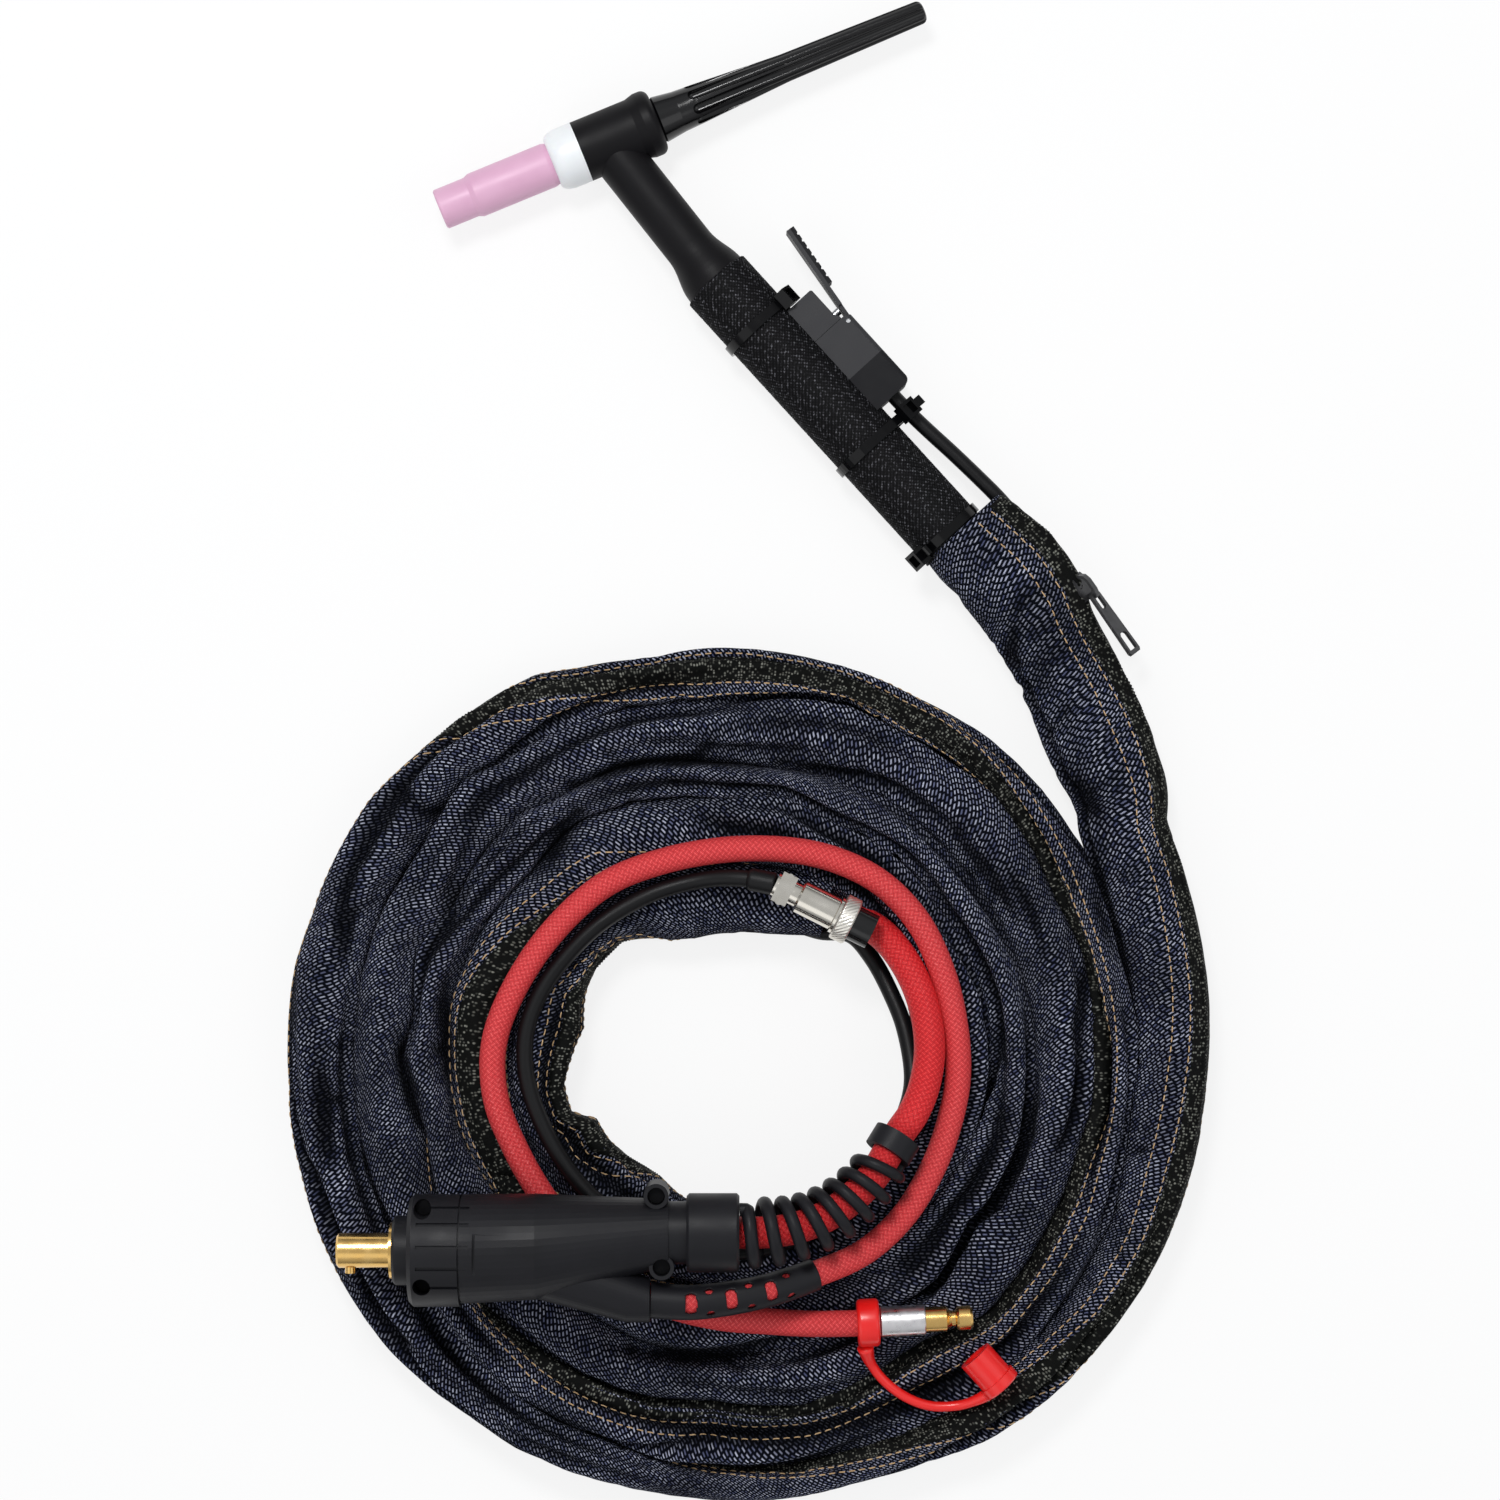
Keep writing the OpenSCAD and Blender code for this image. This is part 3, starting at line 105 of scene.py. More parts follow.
# Carried-over solids and their finishes
pinkAlumina = grained("pink sintered alumina", {"Specular IOR Level": 0.5}, {
    "size": 0.35, "patch": 9, "tones": ("#D9A6C4", "#E3B4CF"), "rough": (0.36, 0.5),
    "strength": 0.25, "depth": 0.05})  # chalky, even pink with a faint grain and a soft gloss
whitePtfe = grained("machined white PTFE", {"Subsurface Weight": 0.05}, {
    "size": 0.6, "patch": 6, "tones": ("#EDEEF0", "#F4F5F6"), "rough": (0.32, 0.42),
    "strength": 0.1, "depth": 0.04})  # waxy white
headRubber = grained("moulded black silicone rubber", {"Specular IOR Level": 0.16}, {
    "size": 0.45, "patch": 14, "tones": ("#0B0A0C", "#131215"), "rough": (0.42, 0.56),
    "strength": 0.3, "depth": 0.06})  # dull skin with soft broad highlights
blackPhenolic = grained("polished black phenolic", {"Specular IOR Level": 0.5}, {
    "size": 6, "patch": 20, "tones": ("#050506", "#09080A"), "rough": (0.12, 0.16),
    "strength": 0.02, "depth": 0.01})  # near black with sharp long highlights
blackNylon = grained("moulded black nylon", {"Specular IOR Level": 0.22}, {
    "size": 0.8, "patch": 5, "tones": ("#040405", "#08080A"), "rough": (0.12, 0.2),
    "strength": 0.1, "depth": 0.03})  # small bright glints on near black
switchPlastic = grained("textured black ABS", {"Specular IOR Level": 0.3}, {
    "size": 0.4, "patch": 8, "tones": ("#242427", "#333336"), "rough": (0.46, 0.6),
    "strength": 0.5, "depth": 0.06})  # fine spark-eroded texture, dark grey where light catches it
softPvc = grained("soft black PVC", {"Specular IOR Level": 0.18}, {
    "size": 0.5, "patch": 7, "tones": ("#131316", "#1C1C1F"), "rough": (0.55, 0.7),
    "strength": 0.3, "depth": 0.05})  # soft and quite matt, a shade paler than the plug
plugRubber = grained("moulded black chloroprene rubber", {"Specular IOR Level": 0.24}, {
    "size": 0.4, "patch": 16, "tones": ("#111114", "#1B1B20"), "rough": (0.4, 0.55),
    "strength": 0.45, "depth": 0.07})  # satin, slightly grey, with a fine texture
sealRubber = grained("nitrile rubber", {}, {
    "size": 0.5, "patch": 5, "tones": ("#131314", "#1B1B1C"), "rough": (0.4, 0.5),
    "strength": 0.1, "depth": 0.03})  # dull seal with a faint oily sheen
jacketRubber = grained("extruded black rubber", {"Specular IOR Level": 0.24}, {
    "size": 0.7, "patch": 18, "tones": ("#08080A", "#0F0F11"), "rough": (0.36, 0.5),
    "strength": 0.12, "depth": 0.05})  # smooth sheath with one long soft highlight
insertPlastic = grained("black phenolic insert", {}, {
    "size": 0.5, "patch": 5, "tones": ("#060607", "#0C0C0D"), "rough": (0.14, 0.22),
    "strength": 0.15, "depth": 0.03})  # glossy black face round the contacts
redVinyl = grained("moulded red vinyl", {"Coat Weight": 0.2, "Coat Roughness": 0.2}, {
    "size": 0.8, "patch": 8, "tones": ("#EA1216", "#F3231D"), "rough": (0.26, 0.36),
    "strength": 0.12, "depth": 0.05})  # bright, slightly soft plastic with wet-looking highlights
brass = grained("turned brass", {"Metallic": 1.0}, {
    "size": 0.9, "patch": 5, "tones": ("#DDAE5E", "#EFCB86"), "rough": (0.16, 0.3),
    "strength": 0.08, "depth": 0.03})  # warm yellow metal with soft turning marks
goldPlate = grained("gold-plated brass", {"Metallic": 1.0}, {
    "size": 0.9, "patch": 3, "tones": ("#DFB863", "#EDCD80"), "rough": (0.14, 0.22),
    "strength": 0.05, "depth": 0.02})  # smoother and paler than the brass
copper = grained("drawn copper", {"Metallic": 1.0}, {
    "size": 0.9, "patch": 6, "tones": ("#B8704A", "#C98561"), "rough": (0.22, 0.34),
    "strength": 0.08, "depth": 0.03})  # reddish metal, seen in the threads when parts are backed off
brightSteel = grained("zinc-plated steel", {"Metallic": 1.0}, {
    "size": 0.8, "patch": 4, "tones": ("#A9AAAC", "#C2C3C5"), "rough": (0.22, 0.34),
    "strength": 0.08, "depth": 0.03})  # cool grey pins
blackenedSteel = grained("blackened steel screw", {"Metallic": 1.0}, {
    "size": 0.8, "patch": 4, "tones": ("#101011", "#1E1E20"), "rough": (0.42, 0.56),
    "strength": 0.1, "depth": 0.03})  # dark heads with a low glint
nickel = grained("nickel-plated brass", {"Metallic": 1.0}, {
    "size": 1.1, "patch": 6, "tones": ("#D6D0C4", "#E8E4DB"), "rough": (0.12, 0.22),
    "strength": 0.06, "depth": 0.03})  # warm bright plate with streaky reflections
crimpedAluminium = grained("crimped aluminium", {"Metallic": 1.0}, {
    "size": 0.7, "patch": 3, "tones": ("#E2E0E1", "#F0EEEF"), "rough": (0.22, 0.4),
    "strength": 0.2, "depth": 0.06})  # white metal, slightly scuffed by the crimping tool
gunmetal = grained("painted gunmetal zinc", {"Metallic": 0.7}, {
    "size": 0.6, "patch": 3, "tones": ("#333335", "#5E5E60"), "rough": (0.28, 0.44),
    "strength": 0.15, "depth": 0.04})  # dark plate worn lighter where fingers hold it


def dress(finish, *names):
    for name in names:
        solids[name].data.materials.clear()
        solids[name].data.materials.append(finish)


dress(pinkAlumina, "gas_cup")
dress(whitePtfe, "insulator_ring")
dress(headRubber, "head_body", "handle_shell")
dress(blackPhenolic, "back_cap")
dress(blackNylon, "cable_tie_front", "cable_tie_rear", "cable_tie_sleeve")
dress(switchPlastic, "switch_base", "switch_housing", "switch_lever")
dress(softPvc, "switch_boot", "lever_pad")
dress(plugRubber, "plug_nose", "plug_upper_half", "plug_lower_half", "power_relief", "relief_end")
dress(sealRubber, "cap_seal")
dress(jacketRubber, "inner_cable")
dress(insertPlastic, "connector_insert")
dress(redVinyl, "dust_cap")
dress(brass, "collet_body", "head_core", "gas_nipple", "plug_pin", "cable_ferrule")
dress(goldPlate, "connector_contacts")
dress(copper, "collet", "neck_tube")
dress(brightSteel, "lever_pin", "switch_plunger")
dress(blackenedSteel, "plug_screws")
dress(nickel, "connector_shell", "connector_clamp", "clamp_screws")
dress(crimpedAluminium, "gas_ferrule")
dress(gunmetal, "zip_slider", "zip_pull")
print("finishes made for the solids")


# A smooth path at equal steps through a route's points, and its run, in mm
def resample(route, step):
    route = np.asarray(route, float)
    ends = np.vstack([2 * route[0] - route[1], route, 2 * route[-1] - route[-2]])
    fine = []
    for i in range(len(route) - 1):
        p0, p1, p2, p3 = ends[i:i + 4]
        for f in np.linspace(0, 1, 12, endpoint=False):
            fine.append(p1 + f / 2 * (p2 - p0 + f * (2 * p0 - 5 * p1 + 4 * p2 - p3
                                                   + f * (3 * (p1 - p2) + p3 - p0))))
    fine = np.array(fine + [route[-1]])
    run = np.concatenate([[0], np.cumsum(np.linalg.norm(np.diff(fine, axis=0), axis=1))])
    places = np.linspace(0, run[-1], int(run[-1] / step) + 1)
    return np.stack([np.interp(places, run, fine[:, k]) for k in range(3)], 1), places


# Ways along a path, level to its left or right, and up
def waysOf(path):
    along = np.gradient(path, axis=0)
    along /= np.linalg.norm(along, axis=1)[:, None]
    aside = np.cross(along, [0, 0, 1])
    aside /= np.linalg.norm(aside, axis=1)[:, None]
    return along, aside, np.cross(aside, along)


# Points in mm from a frame turned about z to the scene
def inFrame(frameOf, points):
    c, s = math.cos(frameOf["angle"]), math.sin(frameOf["angle"])
    return np.asarray(points, float) @ np.array([[c, s, 0], [-s, c, 0], [0, 0, 1]]) + frameOf["origin"]


# A skin over rows of points in mm; us and vs are its cloth or sheath coordinates in mm, and relief
# keeps a value between 0 and 1 for each point for its finish: rib height on the webbing, painted shade on the
# denim
def loft(name, rings, finish, us, vs, closed=True, capped=True, relief=None):
    rings = np.asarray(rings, float)
    rows, columns = rings.shape[:2]
    grid = np.arange(rows * columns).reshape(rows, columns)
    lap = np.hstack([grid, grid[:, :1]]) if closed else grid
    quads = np.stack([lap[:-1, :-1], lap[1:, :-1], lap[1:, 1:], lap[:-1, 1:]], -1).reshape(-1, 4)
    faces = quads.tolist()
    if capped:
        faces += [grid[0].tolist(), grid[-1][::-1].tolist()]
    mesh = bpy.data.meshes.new(name)
    mesh.from_pydata((rings.reshape(-1, 3) * mm).tolist(), [], faces)
    u0, v0 = np.meshgrid(us[:-1], vs[:lap.shape[1] - 1], indexing="ij")
    u1, v1 = np.meshgrid(us[1:], vs[1:lap.shape[1]], indexing="ij")
    corners = np.stack([np.stack([u0, v0], -1), np.stack([u1, v0], -1), np.stack([u1, v1], -1),
                        np.stack([u0, v1], -1)], 2).reshape(-1, 2)
    if capped:
        corners = np.vstack([corners, np.zeros((2 * columns, 2))])
    mesh.uv_layers.new(name="cloth").data.foreach_set("uv", (corners * mm).ravel())
    if relief is not None:
        mesh.attributes.new("relief", "FLOAT", "POINT").data.foreach_set("value", np.ravel(relief))
    mesh.polygons.foreach_set("use_smooth", [True] * len(mesh.polygons))
    mesh.materials.append(finish)
    piece = bpy.data.objects.new(name, mesh)
    bpy.context.scene.collection.objects.link(piece)
    return piece


# A round sheath along a path, with a radius for each of its steps
def sheath(name, path, radius, finish, sides=24, lap=None):
    along, aside, up = waysOf(path)
    angles = np.linspace(0, 2 * math.pi, sides, endpoint=False)
    radius = np.broadcast_to(radius, len(path))[:, None, None]
    rings = path[:, None] + radius * (np.cos(angles)[None, :, None] * aside[:, None]
                                      + np.sin(angles)[None, :, None] * up[:, None])
    run = np.concatenate([[0], np.cumsum(np.linalg.norm(np.diff(path, axis=0), axis=1))])
    return loft(name, rings, finish, run, np.linspace(0, lap or 2 * math.pi * radius.mean(), sides + 1))


# A turned piece in a frame, from points along its axis and away from it
def lathe(name, frameOf, profile, finish, sides=64):
    angles = np.linspace(0, 2 * math.pi, sides, endpoint=False)
    rings = [[(x, r * math.cos(a), r * math.sin(a)) for a in angles] for x, r in profile]
    run = np.cumsum([0] + [math.dist(a, b) for a, b in zip(profile, profile[1:])])
    return loft(name, inFrame(frameOf, rings), finish, run, np.linspace(0, 40, sides + 1), capped=False)


# Denim for the sleeve: near-black indigo warp with pale weft dashes along slanting twill lines, each
# line slipped a little against the next; its tone varies in random patches, and painted shade darkens it in its
# folds, dents and hem ends and on the turns' lower sides, so its bulges read paler
denimCloth = {
    "dash": 2.15, "line": 1.18, "twill": math.radians(46), "slip": 0.7,  # coarser than real yarns, to show
    "along": (0.12, 0.26), "across": (0.24, 0.38), "drift": 10, "driftSize": 60,
    "shadeTone": "#010206", "mid": "#060914", "fleck": "#52587A", "pale": "#C2C6DA",
    "fade": 26, "bump": 0.5, "depth": 0.3}
denim, denimTree, denimShader = newFinish("woven indigo denim", {
    "Roughness": 1.0, "Specular IOR Level": 0.1})
clothPlace = addNode(denimTree, "UVMap", uv_map="cloth").outputs["UV"]
clothDrift = addNode(denimTree, "TexNoise", {"Vector": clothPlace, "Scale": 1 / (denimCloth["driftSize"] * mm),
                                             "Detail": 1.0})
clothShift = addNode(denimTree, "VectorMath", {0: clothDrift.outputs["Color"], 1: (0.5, 0.5, 0.5)},
                     operation="SUBTRACT")
clothLie = addNode(denimTree, "VectorMath", {0: clothShift,
                                             1: (denimCloth["drift"] * mm,) * 3, 2: clothPlace},
                   operation="MULTIPLY_ADD")
twillWay = np.array([math.cos(denimCloth["twill"]), math.sin(denimCloth["twill"]), 0])
lineWay = np.array([-twillWay[1], twillWay[0], 0])
dashStep = addNode(denimTree, "VectorMath", {0: clothLie,
                                             1: tuple(twillWay / (denimCloth["dash"] * mm))},
                   operation="DOT_PRODUCT")
lineStep = addNode(denimTree, "VectorMath", {0: clothLie,
                                             1: tuple(lineWay / (denimCloth["line"] * mm))},
                   operation="DOT_PRODUCT").outputs["Value"]
lineCount = addNode(denimTree, "Math", {0: lineStep}, operation="FLOOR").outputs["Value"]
lineSlip = addNode(denimTree, "TexWhiteNoise", {"W": lineCount}, noise_dimensions="1D")
dashPlace = addNode(denimTree, "Math", {0: lineSlip, 1: denimCloth["slip"],
                                        2: dashStep.outputs["Value"]},
                    operation="MULTIPLY_ADD").outputs["Value"]
dashCount = addNode(denimTree, "Math", {0: dashPlace}, operation="FLOOR").outputs["Value"]
dashSides = []
for step, limits in ((dashPlace, denimCloth["along"]), (lineStep, denimCloth["across"])):
    fromEdge = addNode(denimTree, "Math", {0: step, 1: 0.5}, operation="PINGPONG")
    dashSides.append(addNode(denimTree, "MapRange", {"Value": fromEdge, "From Min": limits[0],
                                                     "From Max": limits[1]}))
dashShape = addNode(denimTree, "Math", {0: dashSides[0], 1: dashSides[1]},
                    operation="MULTIPLY").outputs["Value"]
dashCell = addNode(denimTree, "CombineXYZ", {"X": dashCount, "Y": lineCount})
yarnTone = addNode(denimTree, "TexWhiteNoise", {"Vector": dashCell}, noise_dimensions="2D")
worn = addNode(denimTree, "TexNoise", {"Vector": clothPlace, "Scale": 1 / (denimCloth["fade"] * mm),
                                       "Detail": 4.0})
wornShare = addNode(denimTree, "MapRange", {"Value": worn, "From Min": 0.35, "From Max": 0.65,
                                            "To Min": 0.5, "To Max": 1.0})
# Painted shade: the relief attribute darkens the ground towards the shade tone and hides the dashes in folds,
# dents, hem ends and on the turns' lower sides
shadeFac = addNode(denimTree, "Attribute", attribute_name="relief").outputs["Fac"]
shadeLevel = addNode(denimTree, "MapRange", {"Value": shadeFac, "From Min": 0.1, "From Max": 0.8,
                                           "To Min": 0.1, "To Max": 1.0})
wearAndShade = addNode(denimTree, "Math", {0: wornShare, 1: shadeLevel},
                     operation="MULTIPLY")
dashShare = addNode(denimTree, "Math", {0: dashShape, 1: wearAndShade},
                    operation="MULTIPLY")
ground = addNode(denimTree, "Mix", {0: wearAndShade, 6: denimCloth["shadeTone"],
                                    7: denimCloth["mid"]}, data_type="RGBA")
weft = addNode(denimTree, "Mix", {0: yarnTone, 6: denimCloth["fleck"], 7: denimCloth["pale"]},
               data_type="RGBA")
woven = addNode(denimTree, "Mix", {0: dashShare, 6: ground,
                                   7: weft}, data_type="RGBA")
weaveBump = addNode(denimTree, "Bump", {"Height": dashShape, "Strength": denimCloth["bump"],
                                        "Distance": denimCloth["depth"] * mm})
denimTree.links.new(woven.outputs[2], denimShader.inputs["Base Color"])
denimTree.links.new(weaveBump.outputs["Normal"], denimShader.inputs["Normal"])

# The sleeve: one denim tube from the handle through the free stretch and the wound turns
sleeve = {
    "route": [(71.19, -190.48, 0), (75.8, -201.5, -1.2), (80.5, -213, -2.5), (84.5, -227, -3.1),
              (85.5, -240, -3.3), (86.5, -253, -3.3), (88, -267.5, -3.3), (88.4, -281, -3),
              (88.6, -294, -2.6), (88.4, -309, -1.9), (85, -323.5, -1.35)],
    "halfWidths": [18.4, 20.1, 21.2, 21, 19.6, 19.3, 19.2, 19.8, 19.4, 17.4, 15.2, 14.6],
    "halfHeights": [15, 14.2, 12.8, 12.2, 12, 12, 12, 12.2, 12.5, 13.2, 14],
    "firstWay": (0.342, -0.94, 0), "centre": (-89.5, -345.5), "radius": 171, "pitch": 22, "turns": 4.85,
    "swell": 7, "swellTurns": 0.6, "tuck": 6, "tuckTurns": 0.3, "tail": 22, "width": 22.1, "widest": 21.6,
    "step": 1.7, "around": 72, "floor": -15.35, "square": 0.8, "hem": 11, "hemDepth": 9,
    "rise": 1.6, "riseStep": 90, "lap": 0.7, "mouthBend": 18, "freeTurn": 1100, "freeFade": 60}
# How far walls leave their circles, outwards, at places in turns: the coil's outside, the edge
# between each turn and the next one in, and the hole's side of the last turn
outerWall = [
    (-0.02, 0), (0.07, -3), (0.14, -2.2), (0.19, -2.9), (0.215, -4.5), (0.24, -7.7), (0.263, -8.1),
    (0.3, -6.8), (0.36, -6), (0.392, -2.5), (0.412, -3.3), (0.45, -0.3), (0.5, 1.2), (0.55, 1),
    (0.595, 3.6), (0.615, 2.6), (0.66, 3.3), (0.7, -0.2), (0.736, -0.5), (0.752, -4.2), (0.78, -8),
    (0.81, -6.5), (0.84, -6.8), (0.885, -6.8), (0.92, -4), (0.95, -3.2), (0.99, -3.6)]
betweenTurns = [
    (-0.04, 0), (0, -4), (0.02, -5), (0.05, -3.6), (0.085, -2.8), (0.104, -1.7), (0.129, 2.4), (0.17, 2.4),
    (0.26, 5), (0.3, 6.4), (0.35, 5), (0.38, 3.6), (0.41, 2.6), (0.431, 0.7), (0.46, -2), (0.489, -4.6),
    (0.52, -2.4), (0.58, -2), (0.63, 0.2), (0.66, -1.4), (0.69, 3.2), (0.705, -0.8), (0.75, -2.2),
    (0.797, -4.3), (0.83, -1), (0.862, 2.2), (0.89, 1.2), (0.937, 3.6), (0.99, 1), (1.02, 3.4),
    (1.085, 4.6), (1.109, 2.8), (1.188, 5.4), (1.215, -0.5), (1.23, -0.6), (1.28, 5.2), (1.321, 1.5),
    (1.358, 5.9), (1.382, 6.4), (1.41, 5.3), (1.435, 7), (1.5, -2), (1.524, -4.7), (1.56, 2.3),
    (1.582, -1.1), (1.612, 3.7), (1.64, -2), (1.665, 0.7), (1.7, 1.2), (1.715, -3), (1.76, -2.4),
    (1.8, -6.4), (1.83, -7.5), (1.9, -3), (1.935, -3.4), (1.984, -0.6), (2.034, 1), (2.104, 3.3),
    (2.144, 1.4), (2.158, -2.3), (2.192, 5.3), (2.24, 3), (2.297, 4.6), (2.34, 8), (2.4, 6), (2.484, 0),
    (2.525, 4.8), (2.588, 8), (2.638, 5.6), (2.68, 4.1), (2.72, 8), (2.754, 5.8), (2.81, 2), (2.842, 5.4),
    (2.872, 1.7), (2.925, 4.2), (2.961, 2.5), (3.03, 8), (3.09, 8), (3.2, 4), (3.4, 1), (3.6, 3), (3.8, -2),
    (3.88, 0)]
holeWall = [
    (3.8, 0), (3.9, 0), (4.33, -3), (4.4, -8.4), (4.435, -5.9), (4.466, -3.8), (4.494, -3), (4.508, 5),
    (4.534, 5.9), (4.563, 2.5), (4.592, -0.3), (4.627, 4.1), (4.652, 5.9), (4.69, 6.2), (4.708, 3),
    (4.74, -3), (4.771, -4.6), (4.82, -2), (4.853, 1.5), (4.9, 5)]
# Folds along the cloth and short puckers across it: how many, and their least and most sizes
folds = {"seed": 11, "long": 86, "length": (60, 200), "width": (1.8, 3.4), "depth": (2.2, 5.6),
         "drift": 70, "short": 220, "shortWidth": (1.4, 2.6), "shortDepth": (0.7, 2.2)}
# Hollows pressed into the cloth: points along each in mm, its width and depth
dents = [
    ([(74, -234), (67, -247)], 2.6, 3.2), ([(72, -293), (75, -305), (75, -316)], 3.4, 5),
    ([(72.6, -322), (66.2, -337.7), (63.8, -350), (63.5, -360), (64.5, -373.6)], 3.2, 6),
    ([(-168.8, -202), (-165.5, -209.9), (-161.1, -214.9), (-154.4, -214.4)], 3.2, 7),
    ([(-193.8, -237.4), (-200.8, -238.4), (-205.4, -241.7), (-208.7, -248.2), (-212.1, -253.3)], 2.6, 5),
    ([(-130.7, -249), (-119.2, -243.2), (-115.2, -239.7), (-108.2, -238.6)], 3.6, 6),
    ([(-107, -226), (-98.9, -225.5), (-77.6, -227.7), (-58.4, -235), (-37.7, -246)], 2.4, 4.5),
    ([(-69.1, -229.3), (-58.4, -233), (-47.9, -229.5)], 2.2, 3),
    ([(-204.2, -287.9), (-207.2, -298.4), (-207.3, -311.4), (-206.7, -319.5)], 2.6, 5),
    ([(-179.6, -275.8), (-185.3, -286.5), (-189.7, -300.4), (-194.3, -311.6)], 2.6, 5),
    ([(-237.3, -286.1), (-240.6, -300.4), (-245, -314.3), (-246.7, -327.9)], 2.6, 3.2),
    ([(-210.9, -307.4), (-210.5, -319.3), (-209.9, -327.4)], 2.2, 3.4),
    ([(10.2, -406.3), (3.3, -416.7), (-8.3, -429), (-18.8, -435.3), (-37.1, -447.6), (-48, -454.9)], 2.8, 5),
    ([(-176, -428.8), (-156.6, -442), (-134.3, -451.1), (-117.5, -454)], 2.6, 5),
    ([(-158.7, -244), (-166.8, -251.1), (-173.4, -257.5), (-183.6, -266.4)], 3, 4),
    ([(52, -363), (44, -376), (35, -389)], 2.4, 3.4), ([(-34, -245), (-20, -253), (-6, -262)], 2.2, 3),
    ([(23, -300), (29, -318), (32, -338)], 2.4, 3.4), ([(36, -317), (38, -338), (36, -356)], 2.2, 3),
    ([(-215, -436), (-204, -449), (-190, -461)], 2.4, 2.6), ([(-97, -492), (-130, -484), (-160, -471)], 2.4, 3)]


def sleeveTuck(t):
    return sleeve["tuck"] * np.maximum(0, 1 - (sleeve["turns"] - t) / sleeve["tuckTurns"]) ** 2


def sleeveSwell(t):
    return sleeve["swell"] * np.maximum(0, 1 - np.maximum(0, t) / sleeve["swellTurns"])


turnSteps = np.linspace(0, sleeve["turns"], int(sleeve["turns"] * 40) + 1)
turnRadius = sleeve["radius"] - sleeve["pitch"] * turnSteps - sleeveTuck(turnSteps) + sleeveSwell(turnSteps) / 2
turnPoints = np.stack([sleeve["centre"][0] + turnRadius * np.cos(2 * math.pi * turnSteps),
                       sleeve["centre"][1] - turnRadius * np.sin(2 * math.pi * turnSteps),
                       np.full(len(turnSteps), -1.35)], 1)
endTurn = 2 * math.pi * sleeve["turns"]
endWay = np.array([-math.sin(endTurn), -math.cos(endTurn), 0])
sleeveEnd = turnPoints[-1] + sleeve["tail"] * endWay
sleevePath, sleeveRun = resample(np.vstack([sleeve["route"], turnPoints, sleeveEnd]), sleeve["step"])
sleeveCount = len(sleevePath)
turning = np.exp(-sleeveRun / sleeve["mouthBend"])[:, None]
sleeveAlong = waysOf(sleevePath)[0] * (1 - turning) + np.array(sleeve["firstWay"]) * turning
sleeveAside = np.cross(sleeveAlong, [0, 0, 1])
sleeveAside /= np.linalg.norm(sleeveAside, axis=1)[:, None]
freeRow = int(np.argmin(np.linalg.norm(sleevePath - turnPoints[0], axis=1)))
fromCentre = sleevePath[:, :2] - sleeve["centre"]
angleOf = np.unwrap(np.arctan2(-fromCentre[:, 1], fromCentre[:, 0]))
turnOf = np.where(np.arange(sleeveCount) < freeRow, (sleeveRun - sleeveRun[freeRow]) / sleeve["freeTurn"],
                  np.maximum(0, (angleOf - angleOf[freeRow]) / (2 * math.pi)))
turnOf = np.maximum.accumulate(turnOf)
routeRun = [sleeveRun[np.argmin(np.linalg.norm(sleevePath - np.array(p), axis=1))] for p in sleeve["route"]]
free = np.clip((sleeveRun[freeRow] - sleeveRun) / sleeve["freeFade"], 0, 1)


def wallShift(wall, t):
    return np.interp(t, *np.array(wall).T, left=0, right=0 if wall is betweenTurns else wall[-1][1])


halfWidth = np.interp(sleeveRun, routeRun + [sleeveRun[freeRow]], sleeve["halfWidths"])
halfWidth = np.where(np.arange(sleeveCount) < freeRow, halfWidth, (sleeve["width"] + sleeveSwell(turnOf)) / 2)
halfHeight = np.interp(sleeveRun, routeRun, sleeve["halfHeights"]) + sleeve["rise"] * np.array([
    noise.noise((r / sleeve["riseStep"], 8.5, 0)) for r in sleeveRun]) * np.clip(turnOf / 0.1, 0, 1)
firstTurn = np.clip((1 - turnOf) / 0.03, 0, 1)
outerHalf = halfWidth + (firstTurn * wallShift(outerWall, turnOf) + (1 - firstTurn) * (
    wallShift(betweenTurns, turnOf - 1) + sleeveTuck(turnOf) + sleeve["lap"]))
innerHalf = (halfWidth - wallShift(betweenTurns, turnOf) - wallShift(holeWall, turnOf) * (turnOf > 3.8)
             + sleeve["lap"] * (turnOf < 3.95))

around = np.linspace(0, 2 * math.pi, sleeve["around"], endpoint=False)
cosine, sine = np.cos(around), np.sin(around)
push = np.zeros((sleeveCount, sleeve["around"]))
for i in range(sleeveCount):
    s = sleeveRun[i]
    for j in range(sleeve["around"]):
        c, d = cosine[j], sine[j]
        push[i, j] = (1.5 * noise.noise((s / 40 + 20, 1.2 * c, 1.2 * d))
                      + 0.45 * noise.noise((s / 7 + 40, 3.2 * c, 3.2 * d))
                      - 1.3 * free[i] * min(1, 1 - c) * max(0, 1 - abs(noise.noise((
                          s / 14, 1.6 * c + 7, 1.6 * d))) / 0.25) ** 1.6)
chance = np.random.default_rng(folds["seed"])
for k in range(folds["long"]):
    length, width = chance.uniform(*folds["length"]), chance.uniform(*folds["width"])
    start, depth = chance.uniform(20, sleeveRun[-1] - length), chance.uniform(*folds["depth"])
    fromAngle = chance.uniform(15, 165)
    toAngle = np.clip(fromAngle + chance.uniform(-folds["drift"], folds["drift"]), 5, 175)
    rows = np.flatnonzero((sleeveRun > start) & (sleeveRun < start + length))
    share = ((sleeveRun[rows] - start) / length)[:, None]
    bow = 6 * np.sin(2 * math.pi * share + fromAngle)
    away = 13 * (around - np.radians(fromAngle + (toAngle - fromAngle) * share + bow))
    push[rows] -= depth * np.sin(math.pi * share) ** 0.6 * (
        np.exp(-(away / width) ** 2) - 0.3 * np.exp(-((np.abs(away) - 2.3 * width) / (1.2 * width)) ** 2))
